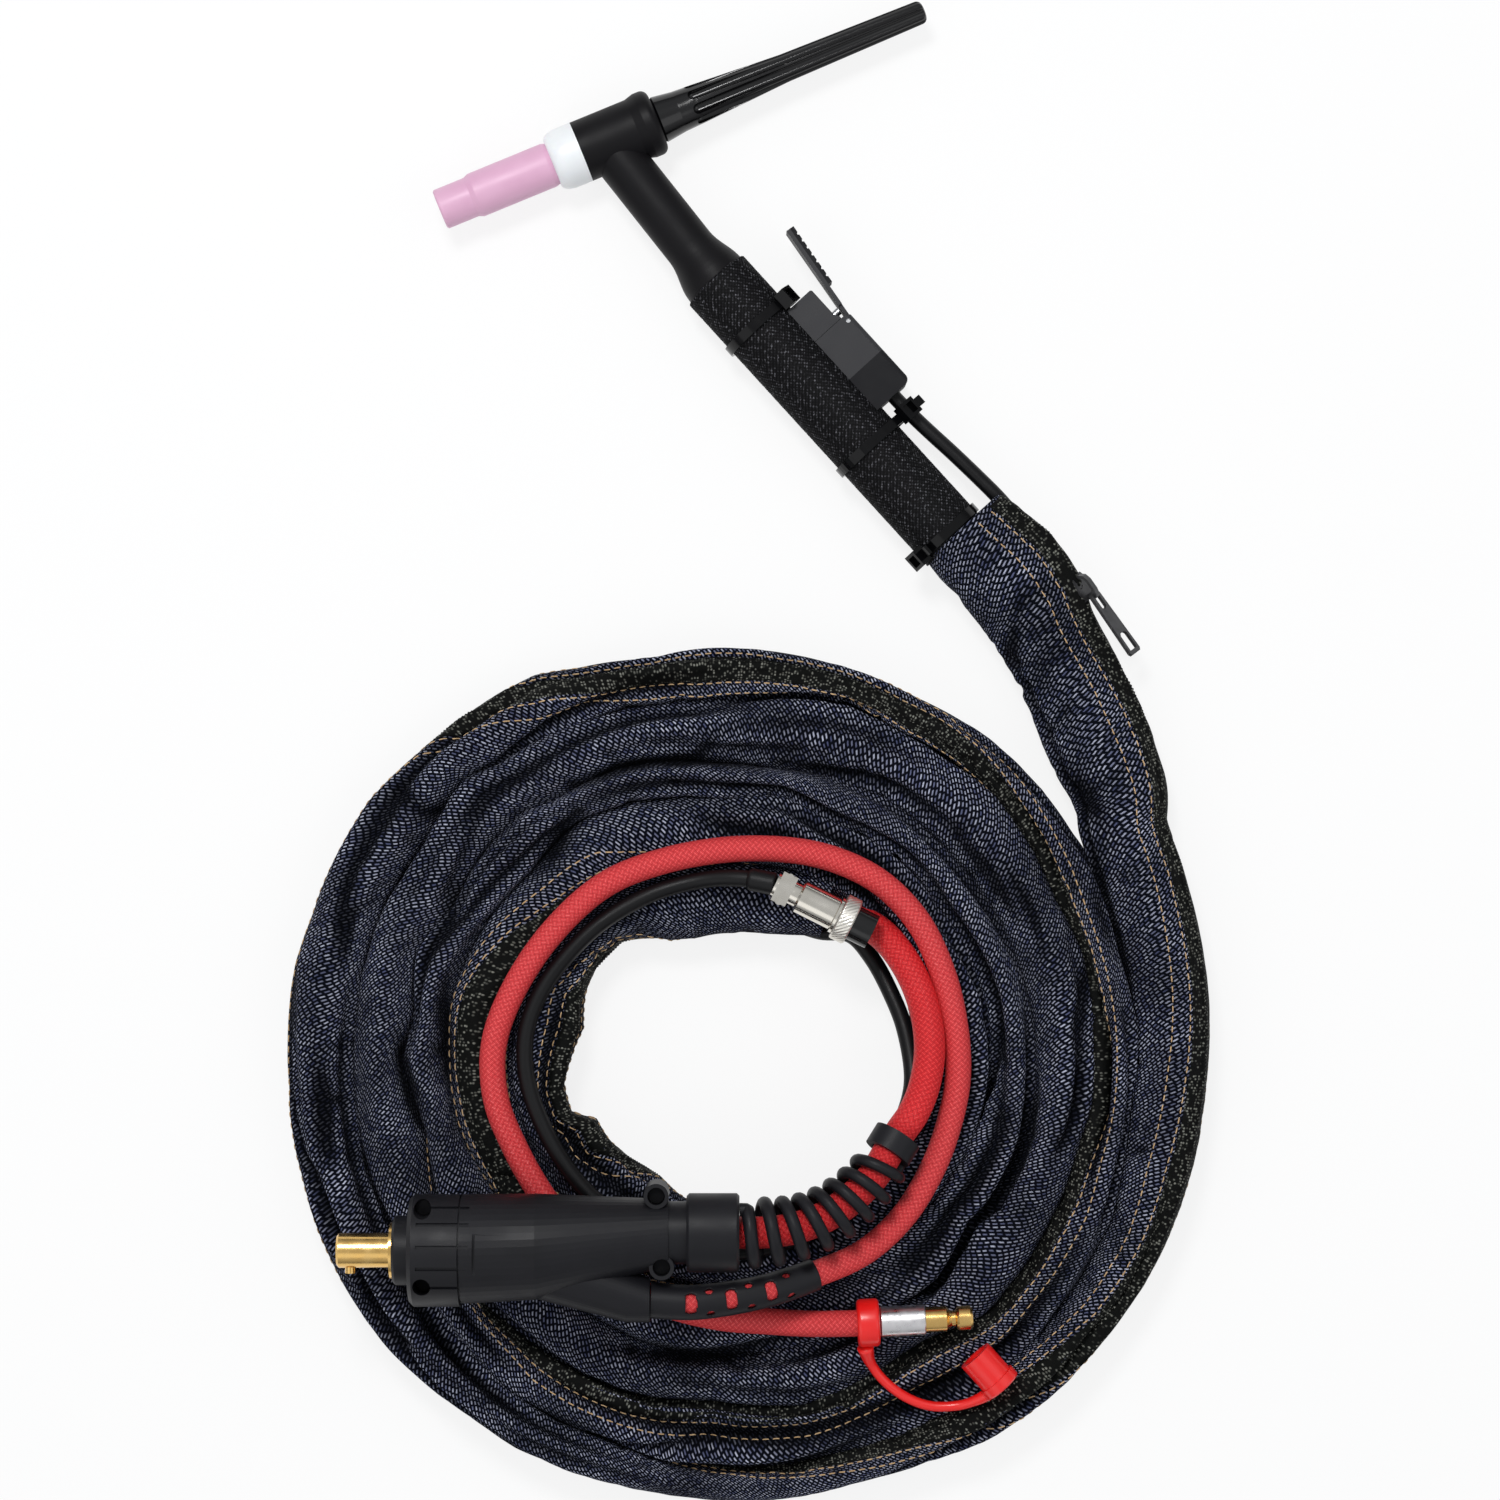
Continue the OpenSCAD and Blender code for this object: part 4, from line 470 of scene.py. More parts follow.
for k in range(folds["short"]):
    place, width = chance.uniform(10, sleeveRun[-1] - 10), chance.uniform(*folds["shortWidth"])
    depth, middle = chance.uniform(*folds["shortDepth"]), math.radians(chance.uniform(95, 175))
    reach, lean = math.radians(chance.uniform(18, 42)), chance.uniform(-9, 9)
    rows = np.flatnonzero(np.abs(sleeveRun - place) < 20)
    away = sleeveRun[rows][:, None] - place - lean * (around - middle)
    push[rows] -= depth * np.exp(-(away / width) ** 2 - ((around - middle) / reach) ** 2)
calm = np.minimum(1, np.minimum(sleeveRun / 25, (sleeveRun[-1] - sleeveRun) / 12))[:, None]
push *= calm
sideways = np.where(free[:, None] > 0.2, 1, np.minimum(1, 0.1 + 1.5 * np.abs(sine)))
middleShift = (outerHalf - innerHalf)[:, None] / 2
halfAcross = (outerHalf + innerHalf)[:, None] / 2
across = middleShift + (halfAcross * np.sign(cosine) * np.abs(cosine) ** sleeve["square"]
                        + push * cosine * sideways)
across = np.clip(across, -np.minimum(innerHalf + 0.4, sleeve["widest"])[:, None],
                 np.minimum(outerHalf + 0.4, sleeve["widest"])[:, None])
upward = halfHeight[:, None] * np.sign(sine) * np.abs(sine) ** sleeve["square"] + push * sine
hemmed = 1 + 0.02 * np.clip(3 - 3 * np.abs(sleeveRun / sleeve["hem"] * 2 - 1), 0, 1)[:, None]
sleeveRings = (sleevePath[:, None] - (across * hemmed)[:, :, None] * sleeveAside[:, None]
               + (upward * hemmed)[:, :, None] * np.array([0, 0, 1]))
# Painted shade, kept as the cloth's relief: darker where the cloth folds in, paler where it bulges out
paintedShade = 0.7 + 0.2 * push
for line, width, depth in dents:
    points, lengths = resample([(x, y, 0) for x, y in line], 2)
    pressed = np.zeros(paintedShade.shape)
    for point, share in zip(points, lengths / lengths[-1]):
        away = np.linalg.norm(sleeveRings[:, :, :2] - point[:2], axis=2)
        pressed = np.maximum(pressed, math.sin(math.pi * (0.12 + 0.76 * share)) * np.exp(-(away / width) ** 2))
    sleeveRings[:, :, 2] -= depth * pressed * np.clip((sleeveRings[:, :, 2] + 6) / 12, 0, 1)
    # painted shade in each dent
    paintedShade -= 0.8 * pressed
sleeveRings[:, :, 2] = np.maximum(sleeveRings[:, :, 2], sleeve["floor"])
# painted shade: the lower sides of the wound turns, where they press against each other, are darkened
sideShade = np.where(free[:, None] > 0.2, 1, np.clip(0.25 + 1.3 * np.maximum(0, sine), 0, 1))
paintedShade = np.clip(paintedShade, 0.08, 1) * sideShade


# The cloth turns in at both open ends
def turnedIn(ring, way, scales):
    centre = ring.mean(axis=0)
    return [centre + (ring - centre) * scale + depth * np.asarray(way) for scale, depth in scales]


mouth = turnedIn(sleeveRings[0], sleeve["firstWay"], [(0.86, sleeve["hemDepth"]), (0.92, 1.5), (0.96, -0.3)])
tailEnd = turnedIn(sleeveRings[-1], endWay, [(0.96, 0.3), (0.92, -1.5), (0.86, -sleeve["hemDepth"])])
clothAround = np.linspace(0, 82, sleeve["around"] + 1)
clothRun = np.concatenate([[-12, -2, -0.8], sleeveRun, sleeveRun[-1] + np.array([0.8, 2, 12])])
# painted shade inside the turned-in ends
clothShade = np.concatenate([paintedShade[:1] * 0.1, paintedShade[:1] * 0.5, paintedShade[:1], paintedShade, paintedShade[-1:], paintedShade[-1:] * 0.5,
                            paintedShade[-1:] * 0.1])
denimSleeve = loft("denimSleeve", np.concatenate([mouth, sleeveRings, tailEnd]), denim, clothRun, clothAround,
                   relief=clothShade)
denimSleeve.data.flip_normals()
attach(denimSleeve, "torch")
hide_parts("sleeve_lead", "sleeve_coil")

# The zip and its rows of stitches run along the sleeve, turning slowly from its outer edge to its inner
zipLine = {"turns": [-0.2, -0.12, -0.05, 0, 0.04, 0.1, 0.16, 0.2, 0.25, 0.3, 0.36, 0.42, 0.48, 0.64, 0.684, 0.7,
                     0.731, 0.763, 0.8, 0.86, 0.9, 0.95, 1.0, 1.4, 1.56, 3.3, 3.48, 3.6, 3.66, 3.72, 3.88, 4.36,
                     4.47, 4.62, 4.76, 4.9],
           "degrees": [32, 28, 26, 28, 36, 50, 56, 84, 130, 170, 230, 290, 318, 320, 334, 368,
                       412, 430, 438, 442, 458, 490, 504, 500, 600, 600, 440, 445, 480, 500, 600, 600,
                       505, 500, 600, 610],
           "tape": 12.4, "tapeLift": 0.35, "chain": 3.4, "tooth": 1.3, "toothHeight": 0.7,
           "weave": 1.1, "black": "#050605", "fleck": "#8C8D84",  # weave coarser than real, to show
           "rows": (-11.6, -7.1, 7.1, 11.6), "stitch": 2.4, "stitchGap": 1.5, "thread": 0.21}


# Points on the sleeve at runs along it and shifts round it from the zip's middle, with their normals
def onSleeve(runs, shift):
    runs = np.clip(np.asarray(runs, float), 0, sleeveRun[-1] - 0.01)
    row = runs / (sleeveRun[1] - sleeveRun[0])
    degrees = np.interp(np.interp(runs, sleeveRun, turnOf), zipLine["turns"], zipLine["degrees"])
    column = (degrees / 360 + shift / 80) % 1 * sleeve["around"]
    i = np.minimum(row.astype(int), sleeveCount - 2)
    j = column.astype(int) % sleeve["around"]
    k = (j + 1) % sleeve["around"]
    f, g = (row - i)[:, None], (column - column.astype(int))[:, None]
    a, b, c, d = sleeveRings[i, j], sleeveRings[i, k], sleeveRings[i + 1, j], sleeveRings[i + 1, k]
    points = (a * (1 - g) + b * g) * (1 - f) + (c * (1 - g) + d * g) * f
    normals = np.cross(b - a, c - a)
    return points, normals / np.maximum(np.linalg.norm(normals, axis=1), 1e-9)[:, None]


# Dense dull ribbon, warm black, with fine pale flecks; its coil shows as a row of ribs
zipTape, tapeTree, tapeShader = newFinish("black polyester zip tape", {
    "Roughness": 0.8, "Specular IOR Level": 0.14})
tapePlace = addNode(tapeTree, "UVMap", uv_map="cloth").outputs["UV"]
tapeCells = addNode(tapeTree, "TexVoronoi", {"Vector": tapePlace, "Scale": 1 / (zipLine["weave"] * mm),
                                               "Randomness": 0.6}, voronoi_dimensions="2D")
tapeSpeck = addNode(tapeTree, "SeparateColor", {"Color": tapeCells.outputs["Color"]})
tapePale = addNode(tapeTree, "MapRange", {"Value": tapeSpeck.outputs["Red"], "From Min": 0.5, "From Max": 1.0})
tapeDot = addNode(tapeTree, "MapRange", {"Value": tapeCells, "From Min": 0.1,
                                         "From Max": 0.45, "To Min": 1.0, "To Max": 0.0})
tapeShare = addNode(tapeTree, "Math", {0: tapePale, 1: tapeDot},
                    operation="MULTIPLY")
tapeTone = addNode(tapeTree, "Mix", {0: tapeShare, 6: zipLine["black"], 7: zipLine["fleck"]},
                   data_type="RGBA")
tapeBump = addNode(tapeTree, "Bump", {"Height": tapeDot, "Strength": 0.5,
                                      "Distance": 0.2 * mm})
tapeTree.links.new(tapeTone.outputs[2], tapeShader.inputs["Base Color"])
tapeTree.links.new(tapeBump.outputs["Normal"], tapeShader.inputs["Normal"])

zipRuns = np.arange(1, sleeveRun[-1] - 1, zipLine["tooth"] / 2)
tapeShifts = np.array([-6.2, -6.1, -4.7, -3.2, -1.8, -1.2, -0.4, 0.4, 1.2, 1.8, 3.2, 4.7, 6.1, 6.2])
tapeRows = []
for shift in tapeShifts:
    points, normals = onSleeve(zipRuns, shift)
    lift = np.full(len(zipRuns), -0.2 if abs(shift) >= zipLine["tape"] / 2 else zipLine["tapeLift"])
    if abs(shift) <= zipLine["chain"] / 2:
        teeth = (np.arange(len(zipRuns)) + (shift > 0)) % 2
        lift += zipLine["toothHeight"] * (0.3 + 0.7 * teeth)
    tapeRows.append(points + lift[:, None] * normals)
zipBand = loft("zipBand", np.stack(tapeRows, 1), zipTape, zipRuns, tapeShifts, closed=False, capped=False)
zipBand.data.flip_normals()
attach(zipBand, "torch")

thread = grained("golden topstitch thread", {"Specular IOR Level": 0.3}, {
    "size": 0.5, "patch": 6, "tones": ("#9C7A50", "#E0C096"), "rough": (0.6, 0.75),
    "strength": 0.3, "depth": 0.1})  # faded gold dashes
stitchStarts = np.arange(3, sleeveRun[-1] - 5, zipLine["stitch"] + zipLine["stitchGap"])
stitchRings, stitchFaces = [], []
for shift in zipLine["rows"]:
    for start in stitchStarts:
        points, normals = onSleeve(start + np.array([0, 0.25, 0.75, 1]) * zipLine["stitch"], shift)
        way = points[-1] - points[0]
        way /= max(np.linalg.norm(way), 1e-9)
        first = len(stitchRings)
        for point, normal, lift in zip(points, normals, (-0.15, 0.15, 0.15, -0.15)):
            side = np.cross(normal, way)
            for k in range(6):
                a = math.pi * k / 3
                stitchRings.append(point + (lift + zipLine["thread"] * math.sin(a)) * normal
                                   + zipLine["thread"] * 1.3 * math.cos(a) * side)
        for r in range(3):
            for k in range(6):
                n, m = first + r * 6, (k + 1) % 6
                stitchFaces.append((n + k, n + m, n + 6 + m, n + 6 + k))
stitchMesh = bpy.data.meshes.new("topstitches")
stitchMesh.from_pydata((np.array(stitchRings) * mm).tolist(), [], stitchFaces)
stitchMesh.polygons.foreach_set("use_smooth", [True] * len(stitchMesh.polygons))
stitchMesh.materials.append(thread)
topstitches = bpy.data.objects.new("topstitches", stitchMesh)
bpy.context.scene.collection.objects.link(topstitches)
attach(topstitches, "torch")
print("sleeve made:", sleeveCount, "rings,", round(sleeveRun[-1]), "mm long,", len(stitchStarts) * 4, "stitches")

# Braided covers: strands of three yarns that cross over and under each other, with painted shade in the hollows
# between strands and painted highlights on their crowns
braid = {"cell": 2.6, "step": 2.3, "yarns": 3, "fibre": 1.4, "bump": 0.7, "depth": 0.35}


def braided(name, shadeTone, mid, bright):
    finish, tree, shader = newFinish(name, {"Roughness": 0.5, "Specular IOR Level": 0.35})
    place = addNode(tree, "UVMap", uv_map="cloth").outputs["UV"]
    crossing, strands, yarns = [], [], []
    for way in (1, -1):
        count = addNode(tree, "VectorMath", {0: place, 1: (1 / (braid["step"] * mm),
                                                           way / (braid["cell"] * mm), 0)},
                        operation="DOT_PRODUCT").outputs["Value"]
        finer = addNode(tree, "Math", {0: count, 1: braid["yarns"]}, operation="MULTIPLY").outputs["Value"]
        crossing.append(count)
        strands.append(addNode(tree, "Math", {0: count, 1: 0.5}, operation="PINGPONG").outputs["Value"])
        yarns.append(addNode(tree, "Math", {0: finer, 1: 0.5}, operation="PINGPONG").outputs["Value"])
    cells = addNode(tree, "CombineXYZ", {"X": crossing[0], "Y": crossing[1], "Z": 0.5})
    over = addNode(tree, "TexChecker", {"Vector": cells, "Scale": 1.0}).outputs["Fac"]
    strand = addNode(tree, "Mix", {0: over, 2: strands[0], 3: strands[1]}).outputs[0]
    yarn = addNode(tree, "Mix", {0: over, 2: yarns[0], 3: yarns[1]}).outputs[0]
    height = addNode(tree, "Math", {0: strand, 1: yarn}, operation="ADD").outputs["Value"]
    soft = addNode(tree, "TexNoise", {"Vector": place, "Scale": 1 / (braid["fibre"] * mm), "Detail": 2.0})
    # Painted shade in the strand hollows, and a painted highlight, spotted by noise, on the crowns
    low = addNode(tree, "MapRange", {"Value": height, "From Min": 0.05, "From Max": 0.55})
    high = addNode(tree, "MapRange", {"Value": height, "From Min": 0.55, "From Max": 1.0})
    lit = addNode(tree, "Math", {0: high, 1: soft}, operation="MULTIPLY")
    body = addNode(tree, "Mix", {0: low, 6: shadeTone, 7: mid}, data_type="RGBA")
    tone = addNode(tree, "Mix", {0: lit, 6: body, 7: bright}, data_type="RGBA")
    bump = addNode(tree, "Bump", {"Height": height, "Strength": braid["bump"], "Distance": braid["depth"] * mm})
    tree.links.new(tone.outputs[2], shader.inputs["Base Color"])
    tree.links.new(bump.outputs["Normal"], shader.inputs["Normal"])
    return finish


gasBraid = braided("braided red polyester", "#A51A20", "#E2383D", "#FF908C")  # soft, with painted highlights on the crowns
cableBraid = braided("braided scarlet nylon", "#9C0A11", "#E11E26", "#FB6F6A")  # denser and deeper

# Power cable: out of the sleeve's end, under the leads and up into the plug
plug = {"origin": (-253, -353.7, 43.5), "angle": math.radians(-22.35), "reliefX": 131.3, "powerExit": 6.6,
        "collar": 19.8, "endCollar": 10}


def onPlug(x, y, z=0):
    c, s = math.cos(plug["angle"]), math.sin(plug["angle"])
    return np.array([plug["origin"][0] + x * c - y * s, plug["origin"][1] + x * s + y * c,
                     plug["origin"][2] + z])


endSide = np.array([math.cos(endTurn), -math.sin(endTurn), 0])
reliefStart = onPlug(plug["reliefX"] + plug["collar"], plug["powerExit"])
reliefRoute = np.array([reliefStart, (-99, -409.6, 42.9), (-88, -412, 41.6), (-77, -412, 39.6),
                        (-66, -409.6, 37.2), (-56, -405.4, 34.4), (-48.2, -400, 31.8)])
reliefWay = (reliefRoute[-1] - reliefRoute[-2]) / np.linalg.norm(reliefRoute[-1] - reliefRoute[-2])
reliefExit = reliefRoute[-1] + plug["endCollar"] * reliefWay
power = {"diameter": 12, "route": [
    sleeveEnd - 8 * endWay + 6 * endSide + (0, 0, 4), sleeveEnd + 4.5 * endSide + (0, 0, 5), (-26, -314, 6.5),
    (-19, -322, 11), (-15, -332.5, 15.5), (-13.4, -345, 18.2), (-14.4, -358, 20), (-18.4, -371, 22.4),
    (-25.2, -382, 25.6), (-32.8, -389.6, 28.8),
    reliefExit, *reliefRoute[::-1], onPlug(plug["reliefX"], plug["powerExit"])]}
powerPath, powerRun = resample(power["route"], 1.5)
powerCable = sheath("powerCable", powerPath, power["diameter"] / 2, cableBraid, 32, 14 * braid["cell"])
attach(powerCable, "torch")
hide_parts("power_cable")

# Gas lead: once round the coil's hole, from the plug's branch to the nipple
gas = {"diameter": 10, "end": (-83.5, -456.5, 22), "angle": math.radians(-19.5), "route": [
    onPlug(117.5, -18.8), (-135, -423.4, 42.6), (-112, -429.5, 38), (-90, -432, 31), (-70, -432, 24.5),
    (-51, -425.4, 20), (-34, -413, 18.2), (-21, -398.6, 17.8), (-11.8, -384, 17.8), (-5.6, -366, 17.8),
    (-2.4, -346, 17.8), (-3.4, -325, 17.8), (-10.5, -306, 17.8), (-22.5, -291.4, 17.8), (-38, -280.4, 17.8),
    (-60, -271, 17.8), (-84.5, -265.6, 17.8), (-109, -265.4, 17.8), (-133.4, -274, 17.8),
    (-155, -288, 17.8), (-171, -305, 17.8), (-178.6, -325, 17.8), (-179, -346, 17.8), (-176.4, -366, 17.8),
    (-171, -386, 17.8), (-162, -405.5, 17.8), (-149.5, -421.5, 17.8), (-132.5, -434.4, 17.8),
    (-115, -443.4, 18.2), (-99, -450.6, 20.4), (-83.5, -456.5, 22), (-75.11, -459.47, 22)]}
gasPath, gasRun = resample(gas["route"], 1.5)
gasLead = sheath("gasLead", gasPath, gas["diameter"] / 2, gasBraid, 28, 12 * braid["cell"])
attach(gasLead, "torch")
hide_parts("gas_lead")

# Control lead: inside the gas lead, round to the connector
control = {"diameter": 6.5, "route": [
    sleeveEnd - 12 * endWay - 3 * endSide - (0, 0, 6), sleeveEnd - 4 * endSide - (0, 0, 6.5),
    (-29.4, -320, -5), (-25.2, -331, -2), (-23.6, -345, 1.5), (-23.9, -361, 6), (-28.4, -379, 12),
    (-37, -391, 16.2), (-50, -402.5, 16.2), (-66, -412.5, 16.2), (-88, -418, 16.2), (-110, -416.5, 16.2),
    (-130, -408, 16.2), (-147, -394, 16.2), (-159, -374, 16.2), (-165, -353, 16.2), (-166, -331, 16.2),
    (-162.5, -314.5, 16.2), (-154.5, -301, 16.2), (-140, -289, 16.2), (-118.6, -279.2, 16.2),
    (-96, -275.6, 16.2), (-75.5, -277.6, 17.6), (-60.5, -282.6, 22), (-48.7, -289.7, 24.6)]}
controlPath, controlRun = resample(control["route"], 1.5)
controlLead = sheath("controlLead", controlPath, control["diameter"] / 2, jacketRubber, 24)
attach(controlLead, "torch")
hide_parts("control_lead")

# A short shrunk boot on the control lead before its connector
leadBoot = {"length": 12, "lip": 1.2, "radius": (3.6, 4.35)}
bootPath, bootRun = resample(controlPath[controlRun > controlRun[-1] - leadBoot["length"]], 0.6)
bootRadius = np.interp(bootRun, [0, leadBoot["lip"]], leadBoot["radius"])
shrunkBoot = sheath("shrunkBoot", bootPath, bootRadius, jacketRubber, 24)
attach(shrunkBoot, "torch")

# Herringbone webbing round the handle
handle = {"origin": (18.74, -65.37, 0), "angle": math.radians(-70), "length": 135.5}
webbing = {"radius": 13.72, "rise": 0.5, "rib": 1.85, "yarn": 1.5, "fibre": 1.7, "columns": 8, "reach": 14,
           "step": 0.4, "around": 208, "shadeTone": "#040405", "mid": "#0A0A0C", "bright": "#7C7C82"}
webbingFinish, webbingTree, webbingShader = newFinish("woven black nylon webbing", {
    "Roughness": 0.62, "Specular IOR Level": 0.12})  # dull black ribs, with painted shade in their hollows and painted highlights on their crowns
ribHeight = addNode(webbingTree, "Attribute", attribute_name="relief").outputs["Fac"]
webbingPlace = addNode(webbingTree, "UVMap", uv_map="cloth")
fibre = addNode(webbingTree, "TexNoise", {"Vector": webbingPlace, "Scale": 1 / (webbing["fibre"] * mm),
                                          "Detail": 1.0})
fibreLit = addNode(webbingTree, "MapRange", {"Value": fibre, "From Min": 0.5, "From Max": 0.72,
                                             "To Min": 0.04, "To Max": 1.0})
# Painted shade in the rib hollows, and painted highlights on the rib crowns spotted by the fibre noise
ribShade = addNode(webbingTree, "Mix", {0: ribHeight, 6: webbing["shadeTone"], 7: webbing["mid"]}, data_type="RGBA")
ribTop = addNode(webbingTree, "MapRange", {"Value": ribHeight, "From Min": 0.45, "From Max": 1.0})
ribLit = addNode(webbingTree, "Math", {0: ribTop, 1: fibreLit},
                 operation="MULTIPLY")
ribTone = addNode(webbingTree, "Mix", {0: ribLit, 6: ribShade,
                                       7: webbing["bright"]}, data_type="RGBA")
webbingTree.links.new(ribTone.outputs[2], webbingShader.inputs["Base Color"])
wrapRun = np.arange(0.2, handle["length"] + 2, webbing["step"])
wrapAngle = np.linspace(0, 2 * math.pi, webbing["around"], endpoint=False)
columnPlace = wrapAngle / (2 * math.pi) * webbing["columns"]
columnShare = np.abs(columnPlace % 2 - 1) * 2 * math.pi * webbing["reach"] / webbing["columns"]
ribPhase = (wrapRun[:, None] + columnShare) / webbing["rib"]
yarnPhase = (wrapRun[:, None] - columnShare) / webbing["yarn"]
wrapHeight = np.abs(np.sin(math.pi * ribPhase)) ** 0.8 * (0.25 + 0.75 * np.abs(np.sin(math.pi * yarnPhase)))
wrapEnds = np.clip(np.minimum(wrapRun - wrapRun[0], 3) / 0.5, 0, 1)[:, None]
wrapRadius = webbing["radius"] - 0.6 * (1 - wrapEnds) + webbing["rise"] * wrapHeight * wrapEnds
wrapRings = np.stack([np.broadcast_to(wrapRun[:, None], wrapRadius.shape), wrapRadius * np.cos(wrapAngle),
                      wrapRadius * np.sin(wrapAngle)], -1)
handleWebbing = loft("handleWebbing", inFrame(handle, wrapRings), webbingFinish, wrapRun,
                     np.linspace(0, 88, webbing["around"] + 1), relief=wrapHeight)
handleWebbing.data.flip_normals()
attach(handleWebbing, "torch")
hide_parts("webbing_wrap")

# The switch's lead, under the rear tie and into the sleeve
switchLead = {"diameter": 5.8, "route": [(78, 20.5, 0), (84, 20.6, 0), (92, 20.9, 0), (101, 21.6, 0),
                                        (112, 22.6, 0), (125, 23.5, 0), (135.5, 24, 0), (146, 24, -1.5)]}
switchPath, switchRun = resample(inFrame(handle, switchLead["route"]), 1.2)
switchWire = sheath("switchWire", switchPath, switchLead["diameter"] / 2, jacketRubber, 24)
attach(switchWire, "torch")
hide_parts("switch_lead")

# The power cable's bend relief: one round bead wound along the cable from collar to collar
bead = {"coils": 7.5, "reach": (11.45, 8.35), "radius": (2.6, 2.15), "start": 215, "steps": 36, "sides": 14}
beadPath, beadRun = resample(reliefRoute, 0.25)
beadSpan = np.linalg.norm(reliefRoute[-1] - reliefRoute[0])
leadIn, leadOut = bead["radius"][0] / beadSpan, 2 * bead["radius"][1] / beadSpan
beadShare = np.linspace(0, 1, int(bead["coils"] * bead["steps"]))
beadAlong, beadAside, beadUp = waysOf(beadPath)
beadTurn = -math.radians(bead["start"]) - 2 * math.pi * bead["coils"] * np.clip(
    (beadShare - leadIn) / (1 - leadIn - leadOut), 0, 1)
beadReach = np.interp(beadShare, [0, 1], bead["reach"])
beadCentre = np.stack([np.interp(beadShare * beadRun[-1], beadRun, beadPath[:, k]) for k in range(3)], 1)
beadOut = np.stack([np.interp(beadShare * beadRun[-1], beadRun, beadAside[:, k]) * np.cos(beadTurn)
                    + np.interp(beadShare * beadRun[-1], beadRun, beadUp[:, k]) * np.sin(beadTurn)
                    for k in range(3)], 1)
beadLine = beadCentre + beadReach[:, None] * beadOut
beadWay = np.gradient(beadLine, axis=0)
beadWay /= np.linalg.norm(beadWay, axis=1)[:, None]
beadCross = np.cross(beadOut, beadWay)
beadAngles = np.linspace(0, 2 * math.pi, bead["sides"], endpoint=False)
beadRadius = np.interp(beadShare, [0, 1], bead["radius"])[:, None, None]
beadRings = beadLine[:, None] + beadRadius * (np.cos(beadAngles)[None, :, None] * beadOut[:, None]
                                              + np.sin(beadAngles)[None, :, None] * beadCross[:, None])
reliefBead = loft("reliefBead", beadRings, plugRubber, np.arange(len(beadShare)) * 1.0,
                  np.linspace(0, 14, bead["sides"] + 1))
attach(reliefBead, "torch")
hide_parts("relief_coils")

# The gas lead's relief: a tapered sleeve with windows and holes through both of its sides
vents = {"windows": (14.8, 29.7, 44.9), "window": (2.1, 4.5), "holes": (21.8, 37, 52.1), "hole": 1.6,
         "holeTurn": 42, "length": 65.2, "radius": (6.75, 6.1), "wall": 1.0, "step": 0.42, "around": 104}
ventRows = gasRun < vents["length"]
ventPath, ventRun = resample(gasPath[ventRows], vents["step"])
ventRadius = np.interp(ventRun, [0, ventRun[-1]], vents["radius"])
gasVents = sheath("gasVents", ventPath, ventRadius, plugRubber, vents["around"])
ventAngle = np.degrees(np.linspace(0, 2 * math.pi, vents["around"], endpoint=False))
opened = []
for i in range(len(ventRun) - 1):
    for j in range(vents["around"]):
        fromTop = (ventAngle[j] % 180 - 90) * math.pi / 180 * vents["radius"][0]
        atWindow = any(((ventRun[i] - w) / vents["window"][0]) ** 4 + (fromTop / vents["window"][1]) ** 4 < 1
                       for w in vents["windows"])
        sideways = (abs(fromTop) - vents["holeTurn"] * math.pi / 180 * vents["radius"][0])
        atHole = any((ventRun[i] - h) ** 2 + sideways ** 2 < vents["hole"] ** 2 for h in vents["holes"])
        if atWindow or atHole:
            opened.append(i * vents["around"] + j)
ventMesh = bmesh.new()
ventMesh.from_mesh(gasVents.data)
ventMesh.faces.ensure_lookup_table()
capFaces = [ventMesh.faces[-1], ventMesh.faces[-2]]
bmesh.ops.delete(ventMesh, geom=[ventMesh.faces[f] for f in opened] + capFaces, context="FACES")
ventMesh.to_mesh(gasVents.data)
ventMesh.free()
ventWall = gasVents.modifiers.new("wall", "SOLIDIFY")
ventWall.thickness = vents["wall"] * mm
ventWall.offset = -1
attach(gasVents, "torch")
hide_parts("gas_relief")

# The dust cap's ring round the gas lead, and its strap
gasEnd = {"origin": gas["end"], "angle": gas["angle"]}
capStrapSize = {"ring": (5.2, 9.1, 8.6), "round": 1.6, "strap": (3.2, 1.9, 1.9, 2.5), "flare": (9, 8),
                "route": [
    (-84.1, -466.3, 21.8), (-84.6, -473, 18), (-82.4, -482, 15.4), (-77, -491, 15.2), (-69.5, -497.6, 15.4),
    (-60, -501.2, 16), (-52.6, -501.6, 18), (-47.6, -500.9, 19.6)]}
ringIn, ringOut, ringLength = capStrapSize["ring"]
edge = capStrapSize["round"]
ringProfile = [(0, ringIn)] + [
    (x + edge * math.cos(a), ringOut - edge + edge * math.sin(a))
    for x, start, stop in ((edge, 180, 90), (ringLength - edge, 90, 0))
    for a in np.radians(np.linspace(start, stop, 7))] + [(ringLength, ringIn), (0, ringIn)]
capRing = lathe("capRing", gasEnd, ringProfile, redVinyl, 72)
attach(capRing, "torch")
strapPath, strapRun = resample(capStrapSize["route"], 0.8)
strapRadius = np.interp(strapRun, [0, capStrapSize["flare"][0], strapRun[-1] - capStrapSize["flare"][1],
                                   strapRun[-1]], capStrapSize["strap"])
capStrap = sheath("capStrap", strapPath, strapRadius, redVinyl, 20)
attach(capStrap, "torch")
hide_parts("cap_tether")

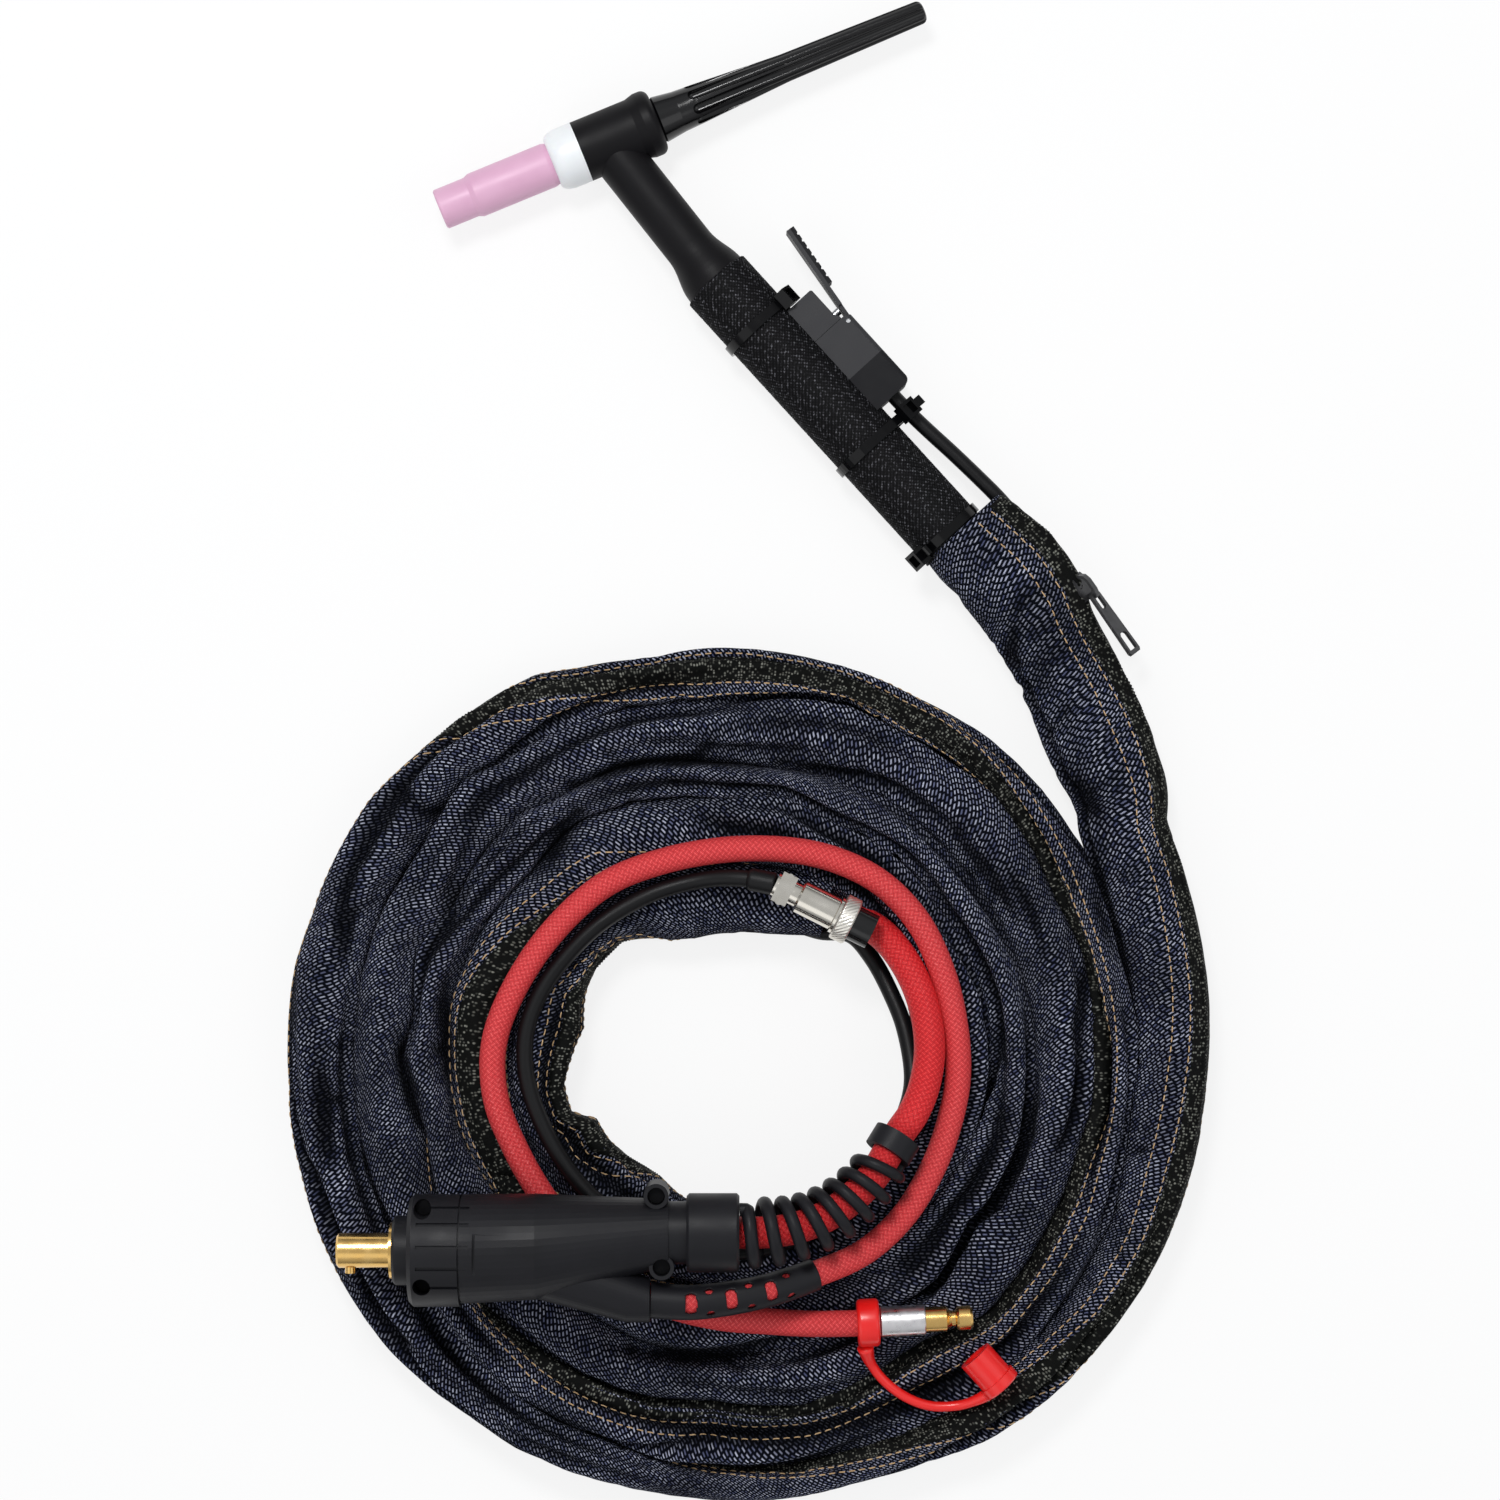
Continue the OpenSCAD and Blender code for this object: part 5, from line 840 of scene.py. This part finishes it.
# The control connector's coupling nut, with slanting knurls
connector = {"origin": (-48.7, -289.7, 24.6), "angle": math.radians(-48.7)}
knurl = {"start": 27, "length": 6.1, "radius": 9.15, "bore": 6.4, "teeth": 32, "slant": 0.11, "depth": 0.18,
         "chamfer": 0.6, "rings": 30, "around": 352}
nutRun = np.linspace(0, knurl["length"], knurl["rings"])
nutAngle = np.linspace(0, 2 * math.pi, knurl["around"], endpoint=False)
toothPhase = knurl["teeth"] * (nutAngle[None, :] / (2 * math.pi)
                               + knurl["slant"] * nutRun[:, None] / knurl["length"])
nutEdge = np.clip(np.minimum(nutRun, knurl["length"] - nutRun) / knurl["chamfer"], 0, 1)[:, None]
nutRadius = (knurl["radius"] - knurl["depth"] * (1 - np.abs(np.sin(math.pi * toothPhase))) * nutEdge
             - knurl["chamfer"] * (1 - nutEdge))
nutRadius = np.vstack([np.full((1, knurl["around"]), knurl["bore"]), nutRadius,
                       np.full((2, knurl["around"]), knurl["bore"])])
nutPlace = knurl["start"] + np.concatenate([[0], nutRun, [knurl["length"], 0]])
nutRings = np.stack([np.broadcast_to(nutPlace[:, None], nutRadius.shape), nutRadius * np.cos(nutAngle),
                     nutRadius * np.sin(nutAngle)], -1)
knurledNickel = grained("knurled nickel plate", {"Metallic": 1.0}, {
    "size": 0.8, "patch": 4, "tones": ("#E2DDD2", "#F2EFE8"), "rough": (0.32, 0.44),
    "strength": 0.1, "depth": 0.03})  # softer glints than the smooth shell beside it
knurledNut = loft("knurledNut", inFrame(connector, nutRings), knurledNickel, np.arange(len(nutPlace)) * 0.2,
                  np.linspace(0, 57, knurl["around"] + 1), capped=False)
knurledNut.data.flip_normals()
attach(knurledNut, "nut")
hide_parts("coupling_nut")
print("webbing, reliefs, strap and nut made")

print("leads made:", round(powerRun[-1]), round(gasRun[-1]), round(controlRun[-1]), "mm")

# Floor, world and lamps
floor = {"size": 12.0, "height": -0.0154, "colour": "#F7F7F7", "bare": 0.82}
floorFinish, floorTree, floorShader = newFinish("matt white paper", {"Base Color": floor["colour"],
                                                                    "Roughness": 0.9})
ray = addNode(floorTree, "LightPath")
seen = addNode(floorTree, "Math", {0: ray.outputs["Is Camera Ray"], 1: ray.outputs["Is Glossy Ray"]},
               operation="MAXIMUM")
seenAll = addNode(floorTree, "Math", {0: seen, 1: ray.outputs["Is Transmission Ray"]},
                  operation="MAXIMUM")
share = addNode(floorTree, "Math", {0: seenAll, 1: floor["bare"]}, operation="MULTIPLY")
glow = addNode(floorTree, "Emission", {"Color": "#FFFFFF", "Strength": 1.0})
both = addNode(floorTree, "MixShader", {0: share, 1: floorShader,
                                        2: glow.outputs["Emission"]})
floorTree.links.new(both.outputs["Shader"], floorTree.nodes["Material Output"].inputs["Surface"])
half = floor["size"] / 2
floorMesh = bpy.data.meshes.new("floor")
floorMesh.from_pydata([(x, y - 0.24, floor["height"]) for x, y in
                       ((-half, -half), (half, -half), (half, half), (-half, half))], [], [(0, 1, 2, 3)])
floorMesh.materials.append(floorFinish)
floorPiece = bpy.data.objects.new("floor", floorMesh)
bpy.context.scene.collection.objects.link(floorPiece)

# Each lamp's place and size in metres, and watts; the small one gives gloss its bright lines
lampAim = Vector((-0.04, -0.26, 0))
lamps = {"key": ((0.0, 0.48, 1.3), 0.36, 9.8), "fill": ((0.75, -0.75, 1.1), 1.2, 2.2),
         "side": ((-0.95, -0.6, 1.0), 1.2, 2.2)}
for lampName, (lampPlace, lampSize, lampPower) in lamps.items():
    lamp = bpy.data.lights.new(lampName, "AREA")
    lamp.shape = "DISK"
    lamp.size = lampSize
    lamp.energy = lampPower
    lampObject = bpy.data.objects.new(lampName, lamp)
    lampObject.location = lampPlace
    lampObject.rotation_euler = (lampAim - Vector(lampPlace)).to_track_quat("-Z", "Y").to_euler()
    bpy.context.scene.collection.objects.link(lampObject)
world = bpy.data.worlds.new("studio")
bpy.context.scene.world = world
world.use_nodes = True
# Brighter overhead than at the horizon, so that round metal shows dark and light bands
sky = {"colour": "#F2F4F7", "horizon": 0.12, "overhead": 0.6, "rise": 0.5}
skyPlace = addNode(world.node_tree, "TexCoord").outputs["Generated"]
skyHeight = addNode(world.node_tree, "SeparateXYZ", {"Vector": skyPlace})
skyStrength = addNode(world.node_tree, "MapRange", {"Value": skyHeight.outputs["Z"], "From Min": 0.0,
                                                    "From Max": sky["rise"], "To Min": sky["horizon"],
                                                    "To Max": sky["overhead"]})
background = world.node_tree.nodes["Background"]
background.inputs["Color"].default_value = linear(sky["colour"])
world.node_tree.links.new(skyStrength.outputs["Result"], background.inputs["Strength"])
print("floor and lamps placed")
